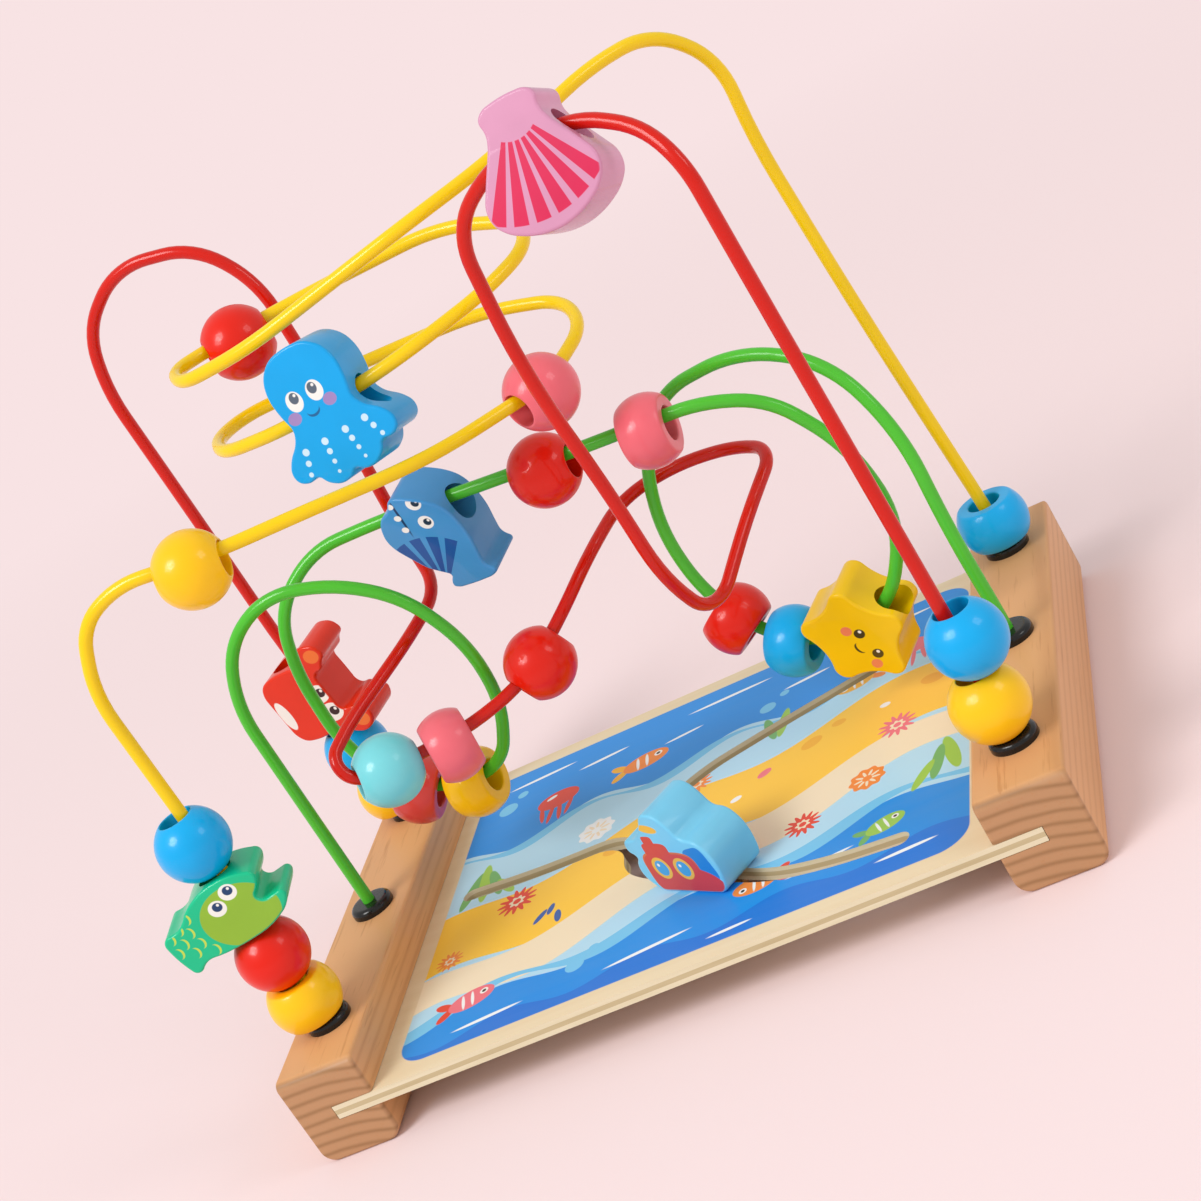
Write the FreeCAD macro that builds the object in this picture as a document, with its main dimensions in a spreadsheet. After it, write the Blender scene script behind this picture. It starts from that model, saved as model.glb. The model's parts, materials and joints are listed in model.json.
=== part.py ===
# Bead maze: two beech rails, a printed play board, three bent wires with beads
# and animal figures on them, and a submarine that follows a track in the board.
# Millimetres, +Z up, origin under the middle of the board on the table.

import FreeCAD, Part
import math
import os

Vector = FreeCAD.Vector

doc = FreeCAD.newDocument("BeadMaze")

# Sizes. Every driving length is a named cell of this sheet.
SIZES = {
    # overall
    "length": 220.0,
    "depth": 152.0,
    "clearance": 0.3,
    # rails
    "rail_width": 23.5,
    "rail_height": 27.0,
    "rail_end_round": 2.5,
    "rail_foot_round": 4.0,
    "rail_edge_round": 1.0,
    # play board
    "board_thickness": 4.0,
    "board_underside": 11.5,
    "board_grip": 12.5,
    "board_slack": 0.15,
    "track_width": 5.6,
    # wires
    "wire_diameter": 3.6,
    "wire_rise": 185.0,
    "leg_spacing": 53.5,
    "seat_depth": 10.0,
    "seat_slack": 0.1,
    "collar_diameter": 12.7,
    "collar_height": 2.7,
    "collar_round": 1.6,
    # beads
    "bead_diameter": 20.0,
    "bead_hole": 9.2,
    "flat_bead_length": 12.4,
    "bead_edge_round": 0.35,
    # figures
    "figure_thickness": 15.0,
    "figure_hole": 10.0,
    "figure_edge_round": 0.8,
    "octopus_hole_width": 7.0,
    "octopus_width": 33.0,
    "octopus_height": 36.0,
    "fish_length": 36.7,
    "fish_height": 21.6,
    "whale_width": 26.4,
    "whale_height": 32.4,
    "star_radius": 18.6,
    "crab_width": 32.6,
    "crab_height": 28.6,
    "shell_width": 30.0,
    "shell_height": 32.0,
    # submarine
    "submarine_length": 31.7,
    "submarine_height": 25.0,
    "peg_diameter": 4.6,
    "peg_socket": 9.0,
    "peg_head_diameter": 8.0,
    "peg_head_height": 2.2,
    "washer_diameter": 15.0,
    "washer_thickness": 2.0,
}

sheet = doc.addObject("Spreadsheet::Sheet", "Sizes")
for row, (alias, value) in enumerate(SIZES.items(), start=1):
    sheet.set("A%d" % row, alias)
    sheet.set("B%d" % row, str(value))
    sheet.setAlias("B%d" % row, alias)
doc.recompute()


def size(alias):
    """Value of one cell of the sheet."""
    return float(sheet.get(alias))


# Fits and places that follow from the sizes.
leg_x = size("length") / 2 - size("rail_width") / 2
leg_y = size("leg_spacing")
rail_top = size("rail_height")
board_top = size("board_underside") + size("board_thickness")
wire_radius = size("wire_diameter") / 2
bead_play = size("bead_hole") / 2 - wire_radius - size("clearance")
figure_play = size("figure_hole") / 2 - wire_radius - size("clearance")
mouth_round = size("bead_edge_round")
round_bead_half = mouth_round + math.sqrt(
    (size("bead_diameter") / 2 - mouth_round) ** 2 - (size("bead_hole") / 2 + mouth_round) ** 2)

# Share of the shorter neighbouring side that each rounded corner takes.
BEND_SHARE = 0.48

# Wire routes. Each row is a corner of the run before it is rounded, as shares
# of the half distance between the rails, of the leg spacing and of the rise
# above the rails. The feet that go into the rails are added below.
YELLOW_ROUTE_SHARES = [
    (-1.000, -1.000, 0.065),
    (-1.013, -1.000, 0.589),
    (-0.930, -0.991, 0.679),
    (-0.792, -0.972, 0.706),
    (-0.552, -0.935, 0.686),
    (-0.270, -0.729, 0.663),
    (-0.018, -0.449, 0.632),
    (0.262, 0.037, 0.616),
    (0.357, 0.411, 0.638),
    (0.300, 0.673, 0.666),
    (0.069, 0.748, 0.698),
    (-0.282, 0.636, 0.718),
    (-0.597, 0.449, 0.739),
    (-0.658, 0.224, 0.741),
    (-0.591, -0.075, 0.738),
    (-0.338, -0.262, 0.742),
    (-0.030, -0.299, 0.756),
    (0.260, -0.075, 0.773),
    (0.369, 0.187, 0.785),
    (0.347, 0.449, 0.805),
    (0.125, 0.598, 0.842),
    (-0.303, 0.523, 0.849),
    (-0.561, 0.280, 0.857),
    (-0.623, 0.093, 0.862),
    (-0.562, -0.131, 0.854),
    (-0.327, -0.262, 0.863),
    (0.193, -0.262, 0.909),
    (0.450, 0.000, 0.920),
    (0.718, 0.374, 0.948),
    (0.860, 0.636, 0.938),
    (0.958, 0.841, 0.855),
    (0.934, 0.897, 0.727),
    (0.950, 0.972, 0.450),
    (1.000, 1.000, 0.059),
]
RED_ROUTE_SHARES = [
    (1.000, -1.000, 0.065),
    (0.983, -1.000, 0.695),
    (0.979, -0.991, 0.859),
    (0.917, -0.860, 0.915),
    (0.773, -0.729, 0.955),
    (0.537, -0.654, 0.946),
    (0.364, -0.561, 0.889),
    (0.319, -0.505, 0.687),
    (0.341, -0.467, 0.485),
    (0.331, -0.374, 0.330),
    (0.366, -0.168, 0.223),
    (0.503, 0.224, 0.296),
    (0.616, 0.561, 0.342),
    (0.499, 0.748, 0.351),
    (0.334, 0.785, 0.360),
    (0.144, 0.748, 0.353),
    (0.037, 0.411, 0.328),
    (-0.075, 0.150, 0.286),
    (-0.222, -0.037, 0.240),
    (-0.388, -0.224, 0.232),
    (-0.576, -0.374, 0.242),
    (-0.688, -0.505, 0.262),
    (-0.714, -0.467, 0.301),
    (-0.656, -0.280, 0.321),
    (-0.477, 0.150, 0.357),
    (-0.399, 0.449, 0.378),
    (-0.455, 0.673, 0.435),
    (-0.455, 0.841, 0.760),
    (-0.465, 0.879, 0.883),
    (-0.575, 0.897, 0.968),
    (-0.820, 0.935, 0.995),
    (-1.007, 0.972, 0.929),
    (-1.066, 0.991, 0.834),
    (-1.058, 1.000, 0.563),
    (-1.054, 1.000, 0.310),
    (-1.000, 1.000, 0.070),
]
GREEN_ROUTE_SHARES = [
    (-1.000, 0.000, 0.384),
    (-0.911, 0.000, 0.478),
    (-0.734, 0.000, 0.522),
    (-0.549, 0.019, 0.490),
    (-0.406, 0.037, 0.427),
    (-0.328, 0.075, 0.321),
    (-0.343, 0.112, 0.209),
    (-0.442, 0.150, 0.118),
    (-0.590, 0.187, 0.103),
    (-0.777, 0.224, 0.139),
    (-0.861, 0.243, 0.237),
    (-0.860, 0.262, 0.371),
    (-0.805, 0.280, 0.465),
    (-0.649, 0.374, 0.519),
    (-0.421, 0.374, 0.515),
    (0.112, 0.206, 0.501),
    (0.567, 0.150, 0.487),
    (0.726, 0.150, 0.449),
    (0.846, 0.150, 0.345),
    (0.874, 0.168, 0.210),
    (0.743, 0.224, 0.094),
    (0.552, 0.374, 0.048),
    (0.348, 0.523, 0.083),
    (0.232, 0.617, 0.175),
    (0.211, 0.636, 0.294),
    (0.282, 0.617, 0.407),
    (0.422, 0.561, 0.489),
    (0.683, 0.411, 0.508),
    (0.899, 0.224, 0.455),
    (0.993, 0.075, 0.334),
    (0.991, 0.000, 0.180),
    (1.000, 0.000, 0.043),
]

# Centre lines of the board's track, as shares of half the distance between the
# rails and of half the board's depth.
TRACK_SHARES = [
    (-0.751, 0.087),
    (-0.515, 0.043),
    (-0.281, 0.038),
    (-0.201, -0.046),
    (-0.184, -0.199),
    (-0.122, -0.291),
    (0.266, -0.645),
    (0.448, -0.711),
    (0.631, -0.738),
]
TRACK_BRANCH_SHARES = [
    (-0.201, -0.046),
    (-0.048, 0.275),
    (0.208, 0.395),
    (0.420, 0.482),
    (0.546, 0.537),
]

# Outlines of the flat figures, as shares of their width and height measured
# from the middle of the hole. Octopus and crab give the right half only.
OCTOPUS_SHARES = [
    (0.000, 0.547),
    (0.170, 0.528),
    (0.290, 0.431),
    (0.335, 0.297),
    (0.318, 0.144),
    (0.282, 0.033),
    (0.333, -0.058),
    (0.439, -0.133),
    (0.500, -0.217),
    (0.485, -0.303),
    (0.394, -0.342),
    (0.309, -0.319),
    (0.267, -0.397),
    (0.170, -0.453),
    (0.061, -0.442),
    (0.000, -0.392),
]
CRAB_SHARES = [
    (0.230, -0.336),
    (0.330, -0.270),
    (0.368, -0.105),
    (0.362, 0.105),
    (0.344, 0.245),
    (0.440, 0.310),
    (0.500, 0.450),
    (0.450, 0.615),
    (0.330, 0.664),
    (0.285, 0.570),
    (0.215, 0.520),
    (0.215, 0.420),
    (0.160, 0.370),
    (0.000, 0.375),
]
FISH_SHARES = [
    (0.327, 0.325),
    (0.290, 0.150),
    (0.215, 0.045),
    (0.260, -0.060),
    (0.450, -0.020),
    (0.387, -0.250),
    (0.204, -0.400),
    (0.000, -0.440),
    (-0.215, -0.440),
    (-0.345, -0.400),
    (-0.458, -0.560),
    (-0.525, -0.250),
    (-0.550, 0.095),
    (-0.385, 0.080),
    (-0.260, 0.290),
    (-0.080, 0.425),
    (0.140, 0.440),
]
WHALE_SHARES = [
    (-0.190, 0.340),
    (0.038, 0.278),
    (0.197, 0.216),
    (0.318, 0.136),
    (0.383, 0.040),
    (0.409, -0.099),
    (0.417, -0.225),
    (0.390, -0.373),
    (0.371, -0.512),
    (0.481, -0.590),
    (0.379, -0.640),
    (0.155, -0.660),
    (-0.053, -0.664),
    (-0.125, -0.636),
    (-0.106, -0.580),
    (-0.049, -0.522),
    (-0.182, -0.451),
    (-0.269, -0.398),
    (-0.405, -0.247),
    (-0.485, -0.145),
    (-0.519, -0.034),
    (-0.481, 0.090),
    (-0.409, 0.173),
    (-0.290, 0.210),
]
SHELL_SHARES = [
    (0.000, 0.372),
    (0.190, 0.353),
    (0.262, 0.290),
    (0.235, 0.185),
    (0.270, 0.090),
    (0.400, -0.110),
    (0.500, -0.270),
    (0.495, -0.400),
    (0.400, -0.510),
    (0.240, -0.590),
    (0.080, -0.628),
]
STAR_NOTCH_SHARE = 0.56
STAR_SHIFT_SHARE = 0.06
STAR_FIRST_POINT_DEGREES = 62.0
STAR_POINTS = 5
SUBMARINE_SHARES = [
    (-0.394, 0.000),
    (0.426, 0.000),
    (0.480, 0.240),
    (0.473, 0.480),
    (0.363, 0.664),
    (0.205, 0.680),
    (0.151, 0.840),
    (0.047, 1.000),
    (-0.120, 1.000),
    (-0.189, 0.860),
    (-0.300, 0.720),
    (-0.394, 0.660),
    (-0.520, 0.660),
    (-0.520, 0.500),
    (-0.435, 0.452),
    (-0.511, 0.340),
    (-0.511, 0.180),
]


def bind(target, formulas):
    """Tie properties of an object to cells of the sheet."""
    for name, formula in formulas.items():
        target.setExpression(name, formula)


def round_corner(before, corner, after):
    """Arc that rounds one corner: start, middle, end, centre and radius."""
    back = before - corner
    ahead = after - corner
    reach = BEND_SHARE * min(back.Length, ahead.Length)
    half_turn = (math.pi - back.getAngle(ahead)) / 2
    back.normalize()
    ahead.normalize()
    radius = reach / math.tan(half_turn)
    inward = (back + ahead).normalize()
    centre = corner + inward * (radius / math.cos(half_turn))
    middle = centre - inward * radius
    return corner + back * reach, middle, corner + ahead * reach, centre, radius


def open_run(corners):
    """Wire of straight pieces and tangent arcs through a list of corners."""
    edges = []
    here = corners[0]
    for before, corner, after in zip(corners, corners[1:], corners[2:]):
        start, middle, end, centre, radius = round_corner(before, corner, after)
        edges.append(Part.LineSegment(here, start).toShape())
        edges.append(Part.Arc(start, middle, end).toShape())
        here = end
    edges.append(Part.LineSegment(here, corners[-1]).toShape())
    return Part.Wire(edges)


def route_corners(shares, first_foot, last_foot):
    """Corners of a wire: a foot in the rail, the route and the other foot."""
    foot_z = rail_top - size("seat_depth")
    corners = [Vector(first_foot[0], first_foot[1], foot_z)]
    for x_share, y_share, rise_share in shares:
        corners.append(Vector(x_share * leg_x, y_share * leg_y,
                              rail_top + rise_share * size("wire_rise")))
    corners.append(Vector(last_foot[0], last_foot[1], foot_z))
    return corners


def on_run(corners, corner_number, share):
    """Point and direction on a run: round one corner's arc for a share from
    0 to 1, and along the straight piece after it for a share from 1 to 2."""
    before, corner, after = corners[corner_number - 1:corner_number + 2]
    start, middle, end, centre, radius = round_corner(before, corner, after)
    ahead = (after - corner).normalize()
    if share > 1:
        next_start = round_corner(corner, after, corners[corner_number + 2])[0]
        return end + (next_start - end) * (share - 1), ahead
    across = (start - centre).normalize()
    along = (corner - before).normalize()
    turn = share * across.getAngle(end - centre)
    point = centre + across * (radius * math.cos(turn)) + along * (radius * math.sin(turn))
    direction = along * math.cos(turn) - across * math.sin(turn)
    return point, direction


def edges_where(shape, test):
    """Names of the edges whose ends and middle all pass a test."""
    names = []
    for number, edge in enumerate(shape.Edges, start=1):
        middle = edge.valueAt((edge.FirstParameter + edge.LastParameter) / 2)
        points = [vertex.Point for vertex in edge.Vertexes] + [middle]
        if all(test(point) for point in points):
            names.append("Edge%d" % number)
    return names


def near(first, second):
    """True where two coordinates are the same."""
    return abs(first - second) < Part.Precision.confusion() * 1000


def new_body(label):
    """Body whose label is the name of its file."""
    made = doc.addObject("PartDesign::Body", label)
    made.Label = label
    return made


def add(body, kind, name, formulas):
    """Feature of a body with its properties tied to the sheet."""
    feature = body.newObject("PartDesign::" + kind, name)
    bind(feature, formulas)
    return feature


def round_edges(body, test, alias, name):
    """Fillet on the chosen edges of a body's last feature."""
    doc.recompute()
    base = body.Tip
    names = edges_where(base.Shape, test)
    fillet = body.newObject("PartDesign::Fillet", name)
    fillet.Base = (base, names)
    bind(fillet, {"Radius": "Sizes." + alias})
    doc.recompute()
    return fillet


# Rails
def make_rail(label, side):
    """Beech rail with a slot for the board and three blind holes for legs."""
    rail = new_body(label)
    outer = "Sizes.length / 2"
    inner = "(Sizes.length / 2 - Sizes.rail_width)"
    left = "-" + outer if side < 0 else inner
    slot_left = "-(Sizes.length / 2 - Sizes.rail_width + Sizes.board_grip + Sizes.board_slack)"
    if side > 0:
        slot_left = inner
    add(rail, "AdditiveBox", "Bar", {
        "Length": "Sizes.rail_width",
        "Width": "Sizes.depth",
        "Height": "Sizes.rail_height",
        "Placement.Base.x": left,
        "Placement.Base.y": "-Sizes.depth / 2",
    })
    outer_x = side * size("length") / 2
    inner_x = side * (size("length") / 2 - size("rail_width"))
    front_y = -size("depth") / 2
    round_edges(rail, lambda p: near(p.z, rail_top) and near(abs(p.y), -front_y),
                "rail_end_round", "EndRounding")
    round_edges(rail, lambda p: near(p.z, 0) and (near(p.x, outer_x) or near(p.x, inner_x)),
                "rail_foot_round", "FootRounding")
    round_edges(rail, lambda p: near(p.z, rail_top) and (near(p.x, outer_x) or near(p.x, inner_x)),
                "rail_edge_round", "TopRounding")
    add(rail, "SubtractiveBox", "BoardSlot", {
        "Length": "Sizes.board_grip + Sizes.board_slack",
        "Width": "Sizes.depth",
        "Height": "Sizes.board_thickness + 2 * Sizes.board_slack",
        "Placement.Base.x": slot_left,
        "Placement.Base.y": "-Sizes.depth / 2",
        "Placement.Base.z": "Sizes.board_underside - Sizes.board_slack",
    })
    for number, leg in enumerate((-1, 0, 1), start=1):
        add(rail, "SubtractiveCylinder", "LegHole%d" % number, {
            "Radius": "Sizes.wire_diameter / 2 + Sizes.seat_slack",
            "Height": "Sizes.seat_depth + Sizes.seat_slack",
            "Placement.Base.x": "%d * (Sizes.length / 2 - Sizes.rail_width / 2)" % side,
            "Placement.Base.y": "%d * Sizes.leg_spacing" % leg,
            "Placement.Base.z": "Sizes.rail_height - Sizes.seat_depth - Sizes.seat_slack",
        })
    return rail


rails = [make_rail("rail_left", -1), make_rail("rail_right", 1)]

# Play board with its branching track
board_reach = "(Sizes.length / 2 - Sizes.rail_width + Sizes.board_grip)"
blank = doc.addObject("Part::Box", "BoardBlank")
bind(blank, {
    "Length": "2 * " + board_reach,
    "Width": "Sizes.depth",
    "Height": "Sizes.board_thickness",
    "Placement.Base.x": "-" + board_reach,
    "Placement.Base.y": "-Sizes.depth / 2",
    "Placement.Base.z": "Sizes.board_underside",
})


def track_corners(shares):
    """Corners of a track's centre line on the underside of the board."""
    return [Vector(x_share * leg_x, y_share * size("depth") / 2, size("board_underside"))
            for x_share, y_share in shares]


tracks = []
for name, shares in (("Track", TRACK_SHARES), ("TrackBranch", TRACK_BRANCH_SHARES)):
    outline = doc.addObject("Part::Feature", name + "Outline")
    centre_line = open_run(track_corners(shares))
    outline.Shape = centre_line.makeOffset2D(size("track_width") / 2, 0, False, False, False)
    track = doc.addObject("Part::Extrusion", name)
    track.Base = outline
    track.DirMode = "Normal"
    track.Dir = Vector(0, 0, 1)
    track.DirMode = "Custom"
    track.Solid = True
    bind(track, {"LengthFwd": "Sizes.board_thickness"})
    tracks.append(track)
both_tracks = doc.addObject("Part::MultiFuse", "Tracks")
both_tracks.Shapes = tracks
board = doc.addObject("Part::Cut", "play_board")
board.Label = "play_board"
board.Base = blank
board.Tool = both_tracks

# Wires
front_left = (-leg_x, -leg_y)
front_right = (leg_x, -leg_y)
middle_left = (-leg_x, 0)
middle_right = (leg_x, 0)
back_left = (-leg_x, leg_y)
back_right = (leg_x, leg_y)
ROUTES = {
    "wire_yellow": route_corners(YELLOW_ROUTE_SHARES, front_left, back_right),
    "wire_red": route_corners(RED_ROUTE_SHARES, front_right, back_left),
    "wire_green": route_corners(GREEN_ROUTE_SHARES, middle_left, middle_right),
}
wires = []
for label, corners in ROUTES.items():
    path = open_run(corners)
    profile = Part.Wire(Part.Circle(corners[0], Vector(0, 0, 1), wire_radius).toShape())
    wire = doc.addObject("Part::Feature", label)
    wire.Label = label
    wire.Shape = path.makePipeShell([profile], True, False)
    wires.append(wire)


# Collars
def make_collar(label, foot):
    """Black domed collar where a leg enters its rail."""
    collar = new_body(label)
    add(collar, "AdditiveCylinder", "Dome", {
        "Radius": "Sizes.collar_diameter / 2",
        "Height": "Sizes.collar_height",
    })
    height = size("collar_height")
    round_edges(collar, lambda p: near(p.z, height), "collar_round", "DomeRounding")
    add(collar, "SubtractiveCylinder", "Bore", {
        "Radius": "Sizes.wire_diameter / 2 + Sizes.seat_slack",
        "Height": "Sizes.collar_height",
    })
    collar.Placement.Base = Vector(foot[0], foot[1], rail_top)
    return collar


collars = [
    make_collar("collar_front_left", front_left),
    make_collar("collar_middle_left", middle_left),
    make_collar("collar_back_left", back_left),
    make_collar("collar_front_right", front_right),
    make_collar("collar_middle_right", middle_right),
    make_collar("collar_back_right", back_right),
]


# Beads
def make_bead(label, flat):
    """Turned bead with its hole along its own Z and its centre at the origin."""
    bead = new_body(label)
    ball = add(bead, "AdditiveSphere", "Ball", {"Radius": "Sizes.bead_diameter / 2"})
    if flat:
        bind(ball, {
            "Angle1": "-asin(Sizes.flat_bead_length / Sizes.bead_diameter)",
            "Angle2": "asin(Sizes.flat_bead_length / Sizes.bead_diameter)",
        })
    add(bead, "SubtractiveCylinder", "Hole", {
        "Radius": "Sizes.bead_hole / 2",
        "Height": "Sizes.bead_diameter",
        "Placement.Base.z": "-Sizes.bead_diameter / 2",
    })
    hole_radius = size("bead_hole") / 2
    ball_radius = size("bead_diameter") / 2
    end_z = size("flat_bead_length") / 2 if flat else math.sqrt(ball_radius ** 2 - hole_radius ** 2)
    end_radius = math.sqrt(ball_radius ** 2 - end_z ** 2)
    round_edges(bead, lambda p: near(abs(p.z), end_z) and (
        near(math.hypot(p.x, p.y), hole_radius) or near(math.hypot(p.x, p.y), end_radius)),
        "bead_edge_round", "MouthRounding")
    return bead


LEGS = {
    "front_left": ROUTES["wire_yellow"],
    "front_right": ROUTES["wire_red"],
    "back_left": ROUTES["wire_red"][::-1],
    "back_right": ROUTES["wire_yellow"][::-1],
}


def stand(body, leg, height, lean_share, yaw_degrees=0):
    """Set a piece round a leg at a height, its Z along the leg, leaning to the
    left or right by a share of its play and turned about its Z."""
    corners = LEGS[leg]
    below, above = [(low, high) for low, high in zip(corners, corners[1:])
                    if low.z <= height < high.z][0]
    up = (above - below).normalize()
    side = Vector(0, 1, 0).cross(up).normalize()
    point = below + up * ((height - below.z) / up.z)
    body.Placement = FreeCAD.Placement(
        point + side * (lean_share * bead_play),
        FreeCAD.Rotation(up, yaw_degrees).multiply(
            FreeCAD.Rotation(side, up.cross(side), up, "ZXY")))


def hang(body, route, corner_number, share, drop_share):
    """Hang a bead from a wire at a place, lowered by a share of its play."""
    point, direction = on_run(ROUTES[route], corner_number, share)
    sideways = direction.cross(Vector(0, 0, 1)).normalize()
    down = direction.cross(sideways).normalize()
    body.Placement = FreeCAD.Placement(
        point + down * (drop_share * bead_play),
        FreeCAD.Rotation(sideways, down, direction, "ZXY"))


# Beads and figures stacked on the legs, from the collar upwards. Where a leg
# slants, the piece on it is that many clearances further from the one below.
SLANT_GAPS = 3
clear = size("clearance")
stack_floor = rail_top + size("collar_height") + clear
flat_half = size("flat_bead_length") / 2
round_half = round_bead_half

flat_z = stack_floor + flat_half
round_on_flat_z = flat_z + flat_half + 1.5 * clear + round_half
slanted_z = round_on_flat_z + SLANT_GAPS * clear
figure_floor = round_on_flat_z + round_half + clear
round_on_round_z = stack_floor + 3 * round_half + clear

# Leg beads: label, flat or round, leg, lean as a share of the play, height
LEG_BEADS = [
    ("front_left_bead_yellow", True, "front_left", -0.9, flat_z),
    ("front_left_bead_red", False, "front_left", -0.9, round_on_flat_z),
    ("front_right_bead_yellow", False, "front_right", -0.4, stack_floor + round_half),
    ("front_right_bead_blue", False, "front_right", 0.8, round_on_round_z),
    ("back_right_bead_blue", True, "back_right", 0.0, flat_z),
    ("back_left_bead_yellow", True, "back_left", -0.8, flat_z),
    ("back_left_bead_blue", False, "back_left", -0.9, slanted_z),
]
beads = []
for label, flat, leg, lean, height in LEG_BEADS:
    bead = make_bead(label, flat)
    stand(bead, leg, height, lean)
    beads.append(bead)

# Hanging beads: label, flat or round, wire, corner, share round it, drop share
WIRE_BEADS = [
    ("yellow_wire_bead_yellow", False, "wire_yellow", 5, 0.30, 0.9),
    ("yellow_wire_bead_pink", False, "wire_yellow", 8, 0.38, 0.7),
    ("yellow_wire_bead_red", False, "wire_yellow", 22, 1.65, 0.9),
    ("red_wire_bead_red", False, "wire_red", 19, 0.14, 0.6),
    ("red_wire_bead_pink", True, "wire_red", 20, 0.83, 0.85),
    ("red_wire_bead_turquoise", False, "wire_red", 21, 0.76, 0.2),
    ("green_wire_bead_yellow", True, "wire_green", 9, 0.28, 0.5),
    ("green_wire_bead_coral", True, "wire_green", 10, 0.18, 0.5),
    ("green_wire_bead_red", False, "wire_green", 16, 0.46, 0.9),
    ("green_wire_bead_pink", True, "wire_green", 16, 1.5, 0.9),
    ("green_wire_bead_blue", True, "wire_green", 23, 0.13, 0.5),
    ("green_wire_bead_scarlet", True, "wire_green", 23, 1.0, 0.5),
]
for label, flat, route, corner_number, share, drop in WIRE_BEADS:
    bead = make_bead(label, flat)
    hang(bead, route, corner_number, share, drop)
    beads.append(bead)


# Figures
def mirrored(shares):
    """Whole outline from its right half; rows on the middle line stand once."""
    return shares + [(-x_share, z_share) for x_share, z_share in reversed(shares) if x_share > 0]


def star_shares():
    """Rounded star, as shares of its radius."""
    points = []
    for number in range(2 * STAR_POINTS):
        turn = math.radians(STAR_FIRST_POINT_DEGREES + number * 180 / STAR_POINTS)
        reach = 1.0 if number % 2 == 0 else STAR_NOTCH_SHARE
        points.append((reach * math.cos(turn) + STAR_SHIFT_SHARE, reach * math.sin(turn)))
    return points


def outline_sketch(body, shares, width, height):
    """Closed sketch of lines and tangent arcs in the body's XZ plane."""
    sketch = body.newObject("Sketcher::SketchObject", "Outline")
    plane = [feature for feature in body.Origin.OriginFeatures if feature.Name.startswith("XZ")]
    sketch.AttachmentSupport = [(plane[0], "")]
    sketch.MapMode = "FlatFace"
    corners = [Vector(x_share * width, z_share * height, 0) for x_share, z_share in shares]
    arcs = [round_corner(corners[number - 1], corners[number], corners[(number + 1) % len(corners)])
            for number in range(len(corners))]
    for number, (start, middle, end, centre, radius) in enumerate(arcs):
        turning = (middle - start).cross(end - middle).z
        first, last = (start, end) if turning > 0 else (end, start)
        first_angle = math.atan2(first.y - centre.y, first.x - centre.x)
        last_angle = math.atan2(last.y - centre.y, last.x - centre.x)
        if last_angle < first_angle:
            last_angle += 2 * math.pi
        circle = Part.Circle(centre, Vector(0, 0, 1), radius)
        sketch.addGeometry(Part.ArcOfCircle(circle, first_angle, last_angle), False)
        next_start = arcs[(number + 1) % len(arcs)][0]
        sketch.addGeometry(Part.LineSegment(end, next_start), False)
    return sketch


def make_figure(label, shares, width, height):
    """Flat figure cut from board, its face outline rounded over front and back."""
    figure = new_body(label)
    sketch = outline_sketch(figure, shares, width, height)
    slab = figure.newObject("PartDesign::Pad", "Slab")
    slab.Profile = sketch
    slab.Midplane = True
    bind(slab, {"Length": "Sizes.figure_thickness"})
    half = size("figure_thickness") / 2
    round_edges(figure, lambda p: near(abs(p.y), half), "figure_edge_round", "FaceRounding")
    return figure


def drill(figure, axis, reach_alias, name="Hole"):
    """Round hole right through a figure along its own X or Z."""
    turn = FreeCAD.Rotation(Vector(0, 0, 1), axis)
    hole = add(figure, "SubtractiveCylinder", name, {
        "Radius": "Sizes.figure_hole / 2",
        "Height": "4 * Sizes." + reach_alias,
    })
    reach = 2 * size(reach_alias)
    hole.Placement = FreeCAD.Placement(axis * -reach, turn)
    return hole


along_x = Vector(1, 0, 0)
along_z = Vector(0, 0, 1)

octopus = make_figure("octopus", mirrored(OCTOPUS_SHARES), size("octopus_width"), size("octopus_height"))
slot_rise = (size("figure_hole") - size("octopus_hole_width")) / 2
for name, rise in (("HoleTop", slot_rise), ("HoleBottom", -slot_rise)):
    end = drill(octopus, along_x, "octopus_width", name)
    bind(end, {"Radius": "Sizes.octopus_hole_width / 2"})
    end.Placement.Base.z = rise
add(octopus, "SubtractiveBox", "HoleMiddle", {
    "Length": "2 * Sizes.octopus_width",
    "Width": "Sizes.octopus_hole_width",
    "Height": "Sizes.figure_hole - Sizes.octopus_hole_width",
    "Placement.Base.x": "-Sizes.octopus_width",
    "Placement.Base.y": "-Sizes.octopus_hole_width / 2",
    "Placement.Base.z": "-(Sizes.figure_hole - Sizes.octopus_hole_width) / 2",
})
whale = make_figure("whale", WHALE_SHARES, size("whale_width"), size("whale_height"))
drill(whale, along_x, "whale_width")
star = make_figure("star", star_shares(), size("star_radius"), size("star_radius"))
drill(star, along_x, "star_radius")
shell = make_figure("shell", mirrored(SHELL_SHARES), size("shell_width"), size("shell_height"))
drill(shell, along_x, "shell_width")
fish = make_figure("fish", FISH_SHARES, size("fish_length"), size("fish_height"))
drill(fish, along_z, "fish_height")
# The crab is drawn upright and rides on its side: its width lies along the leg.
crab_outline = [(z_share, -x_share) for x_share, z_share in mirrored(CRAB_SHARES)]
crab = make_figure("crab", crab_outline, size("crab_height"), size("crab_width"))
drill(crab, along_z, "crab_width")


def face(figure, point, along, depth, drop, yaw_degrees):
    """Hang a figure with its own X along the wire and its own Y as near to the
    depth direction as the wire lets it, turned by a small yaw within its play."""
    sideways = (depth - along * depth.dot(along)).normalize()
    up = along.cross(sideways)
    turn = FreeCAD.Rotation(up, yaw_degrees)
    figure.Placement = FreeCAD.Placement(
        point - up * (drop * figure_play),
        turn.multiply(FreeCAD.Rotation(along, sideways, up, "XYZ")))


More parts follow.
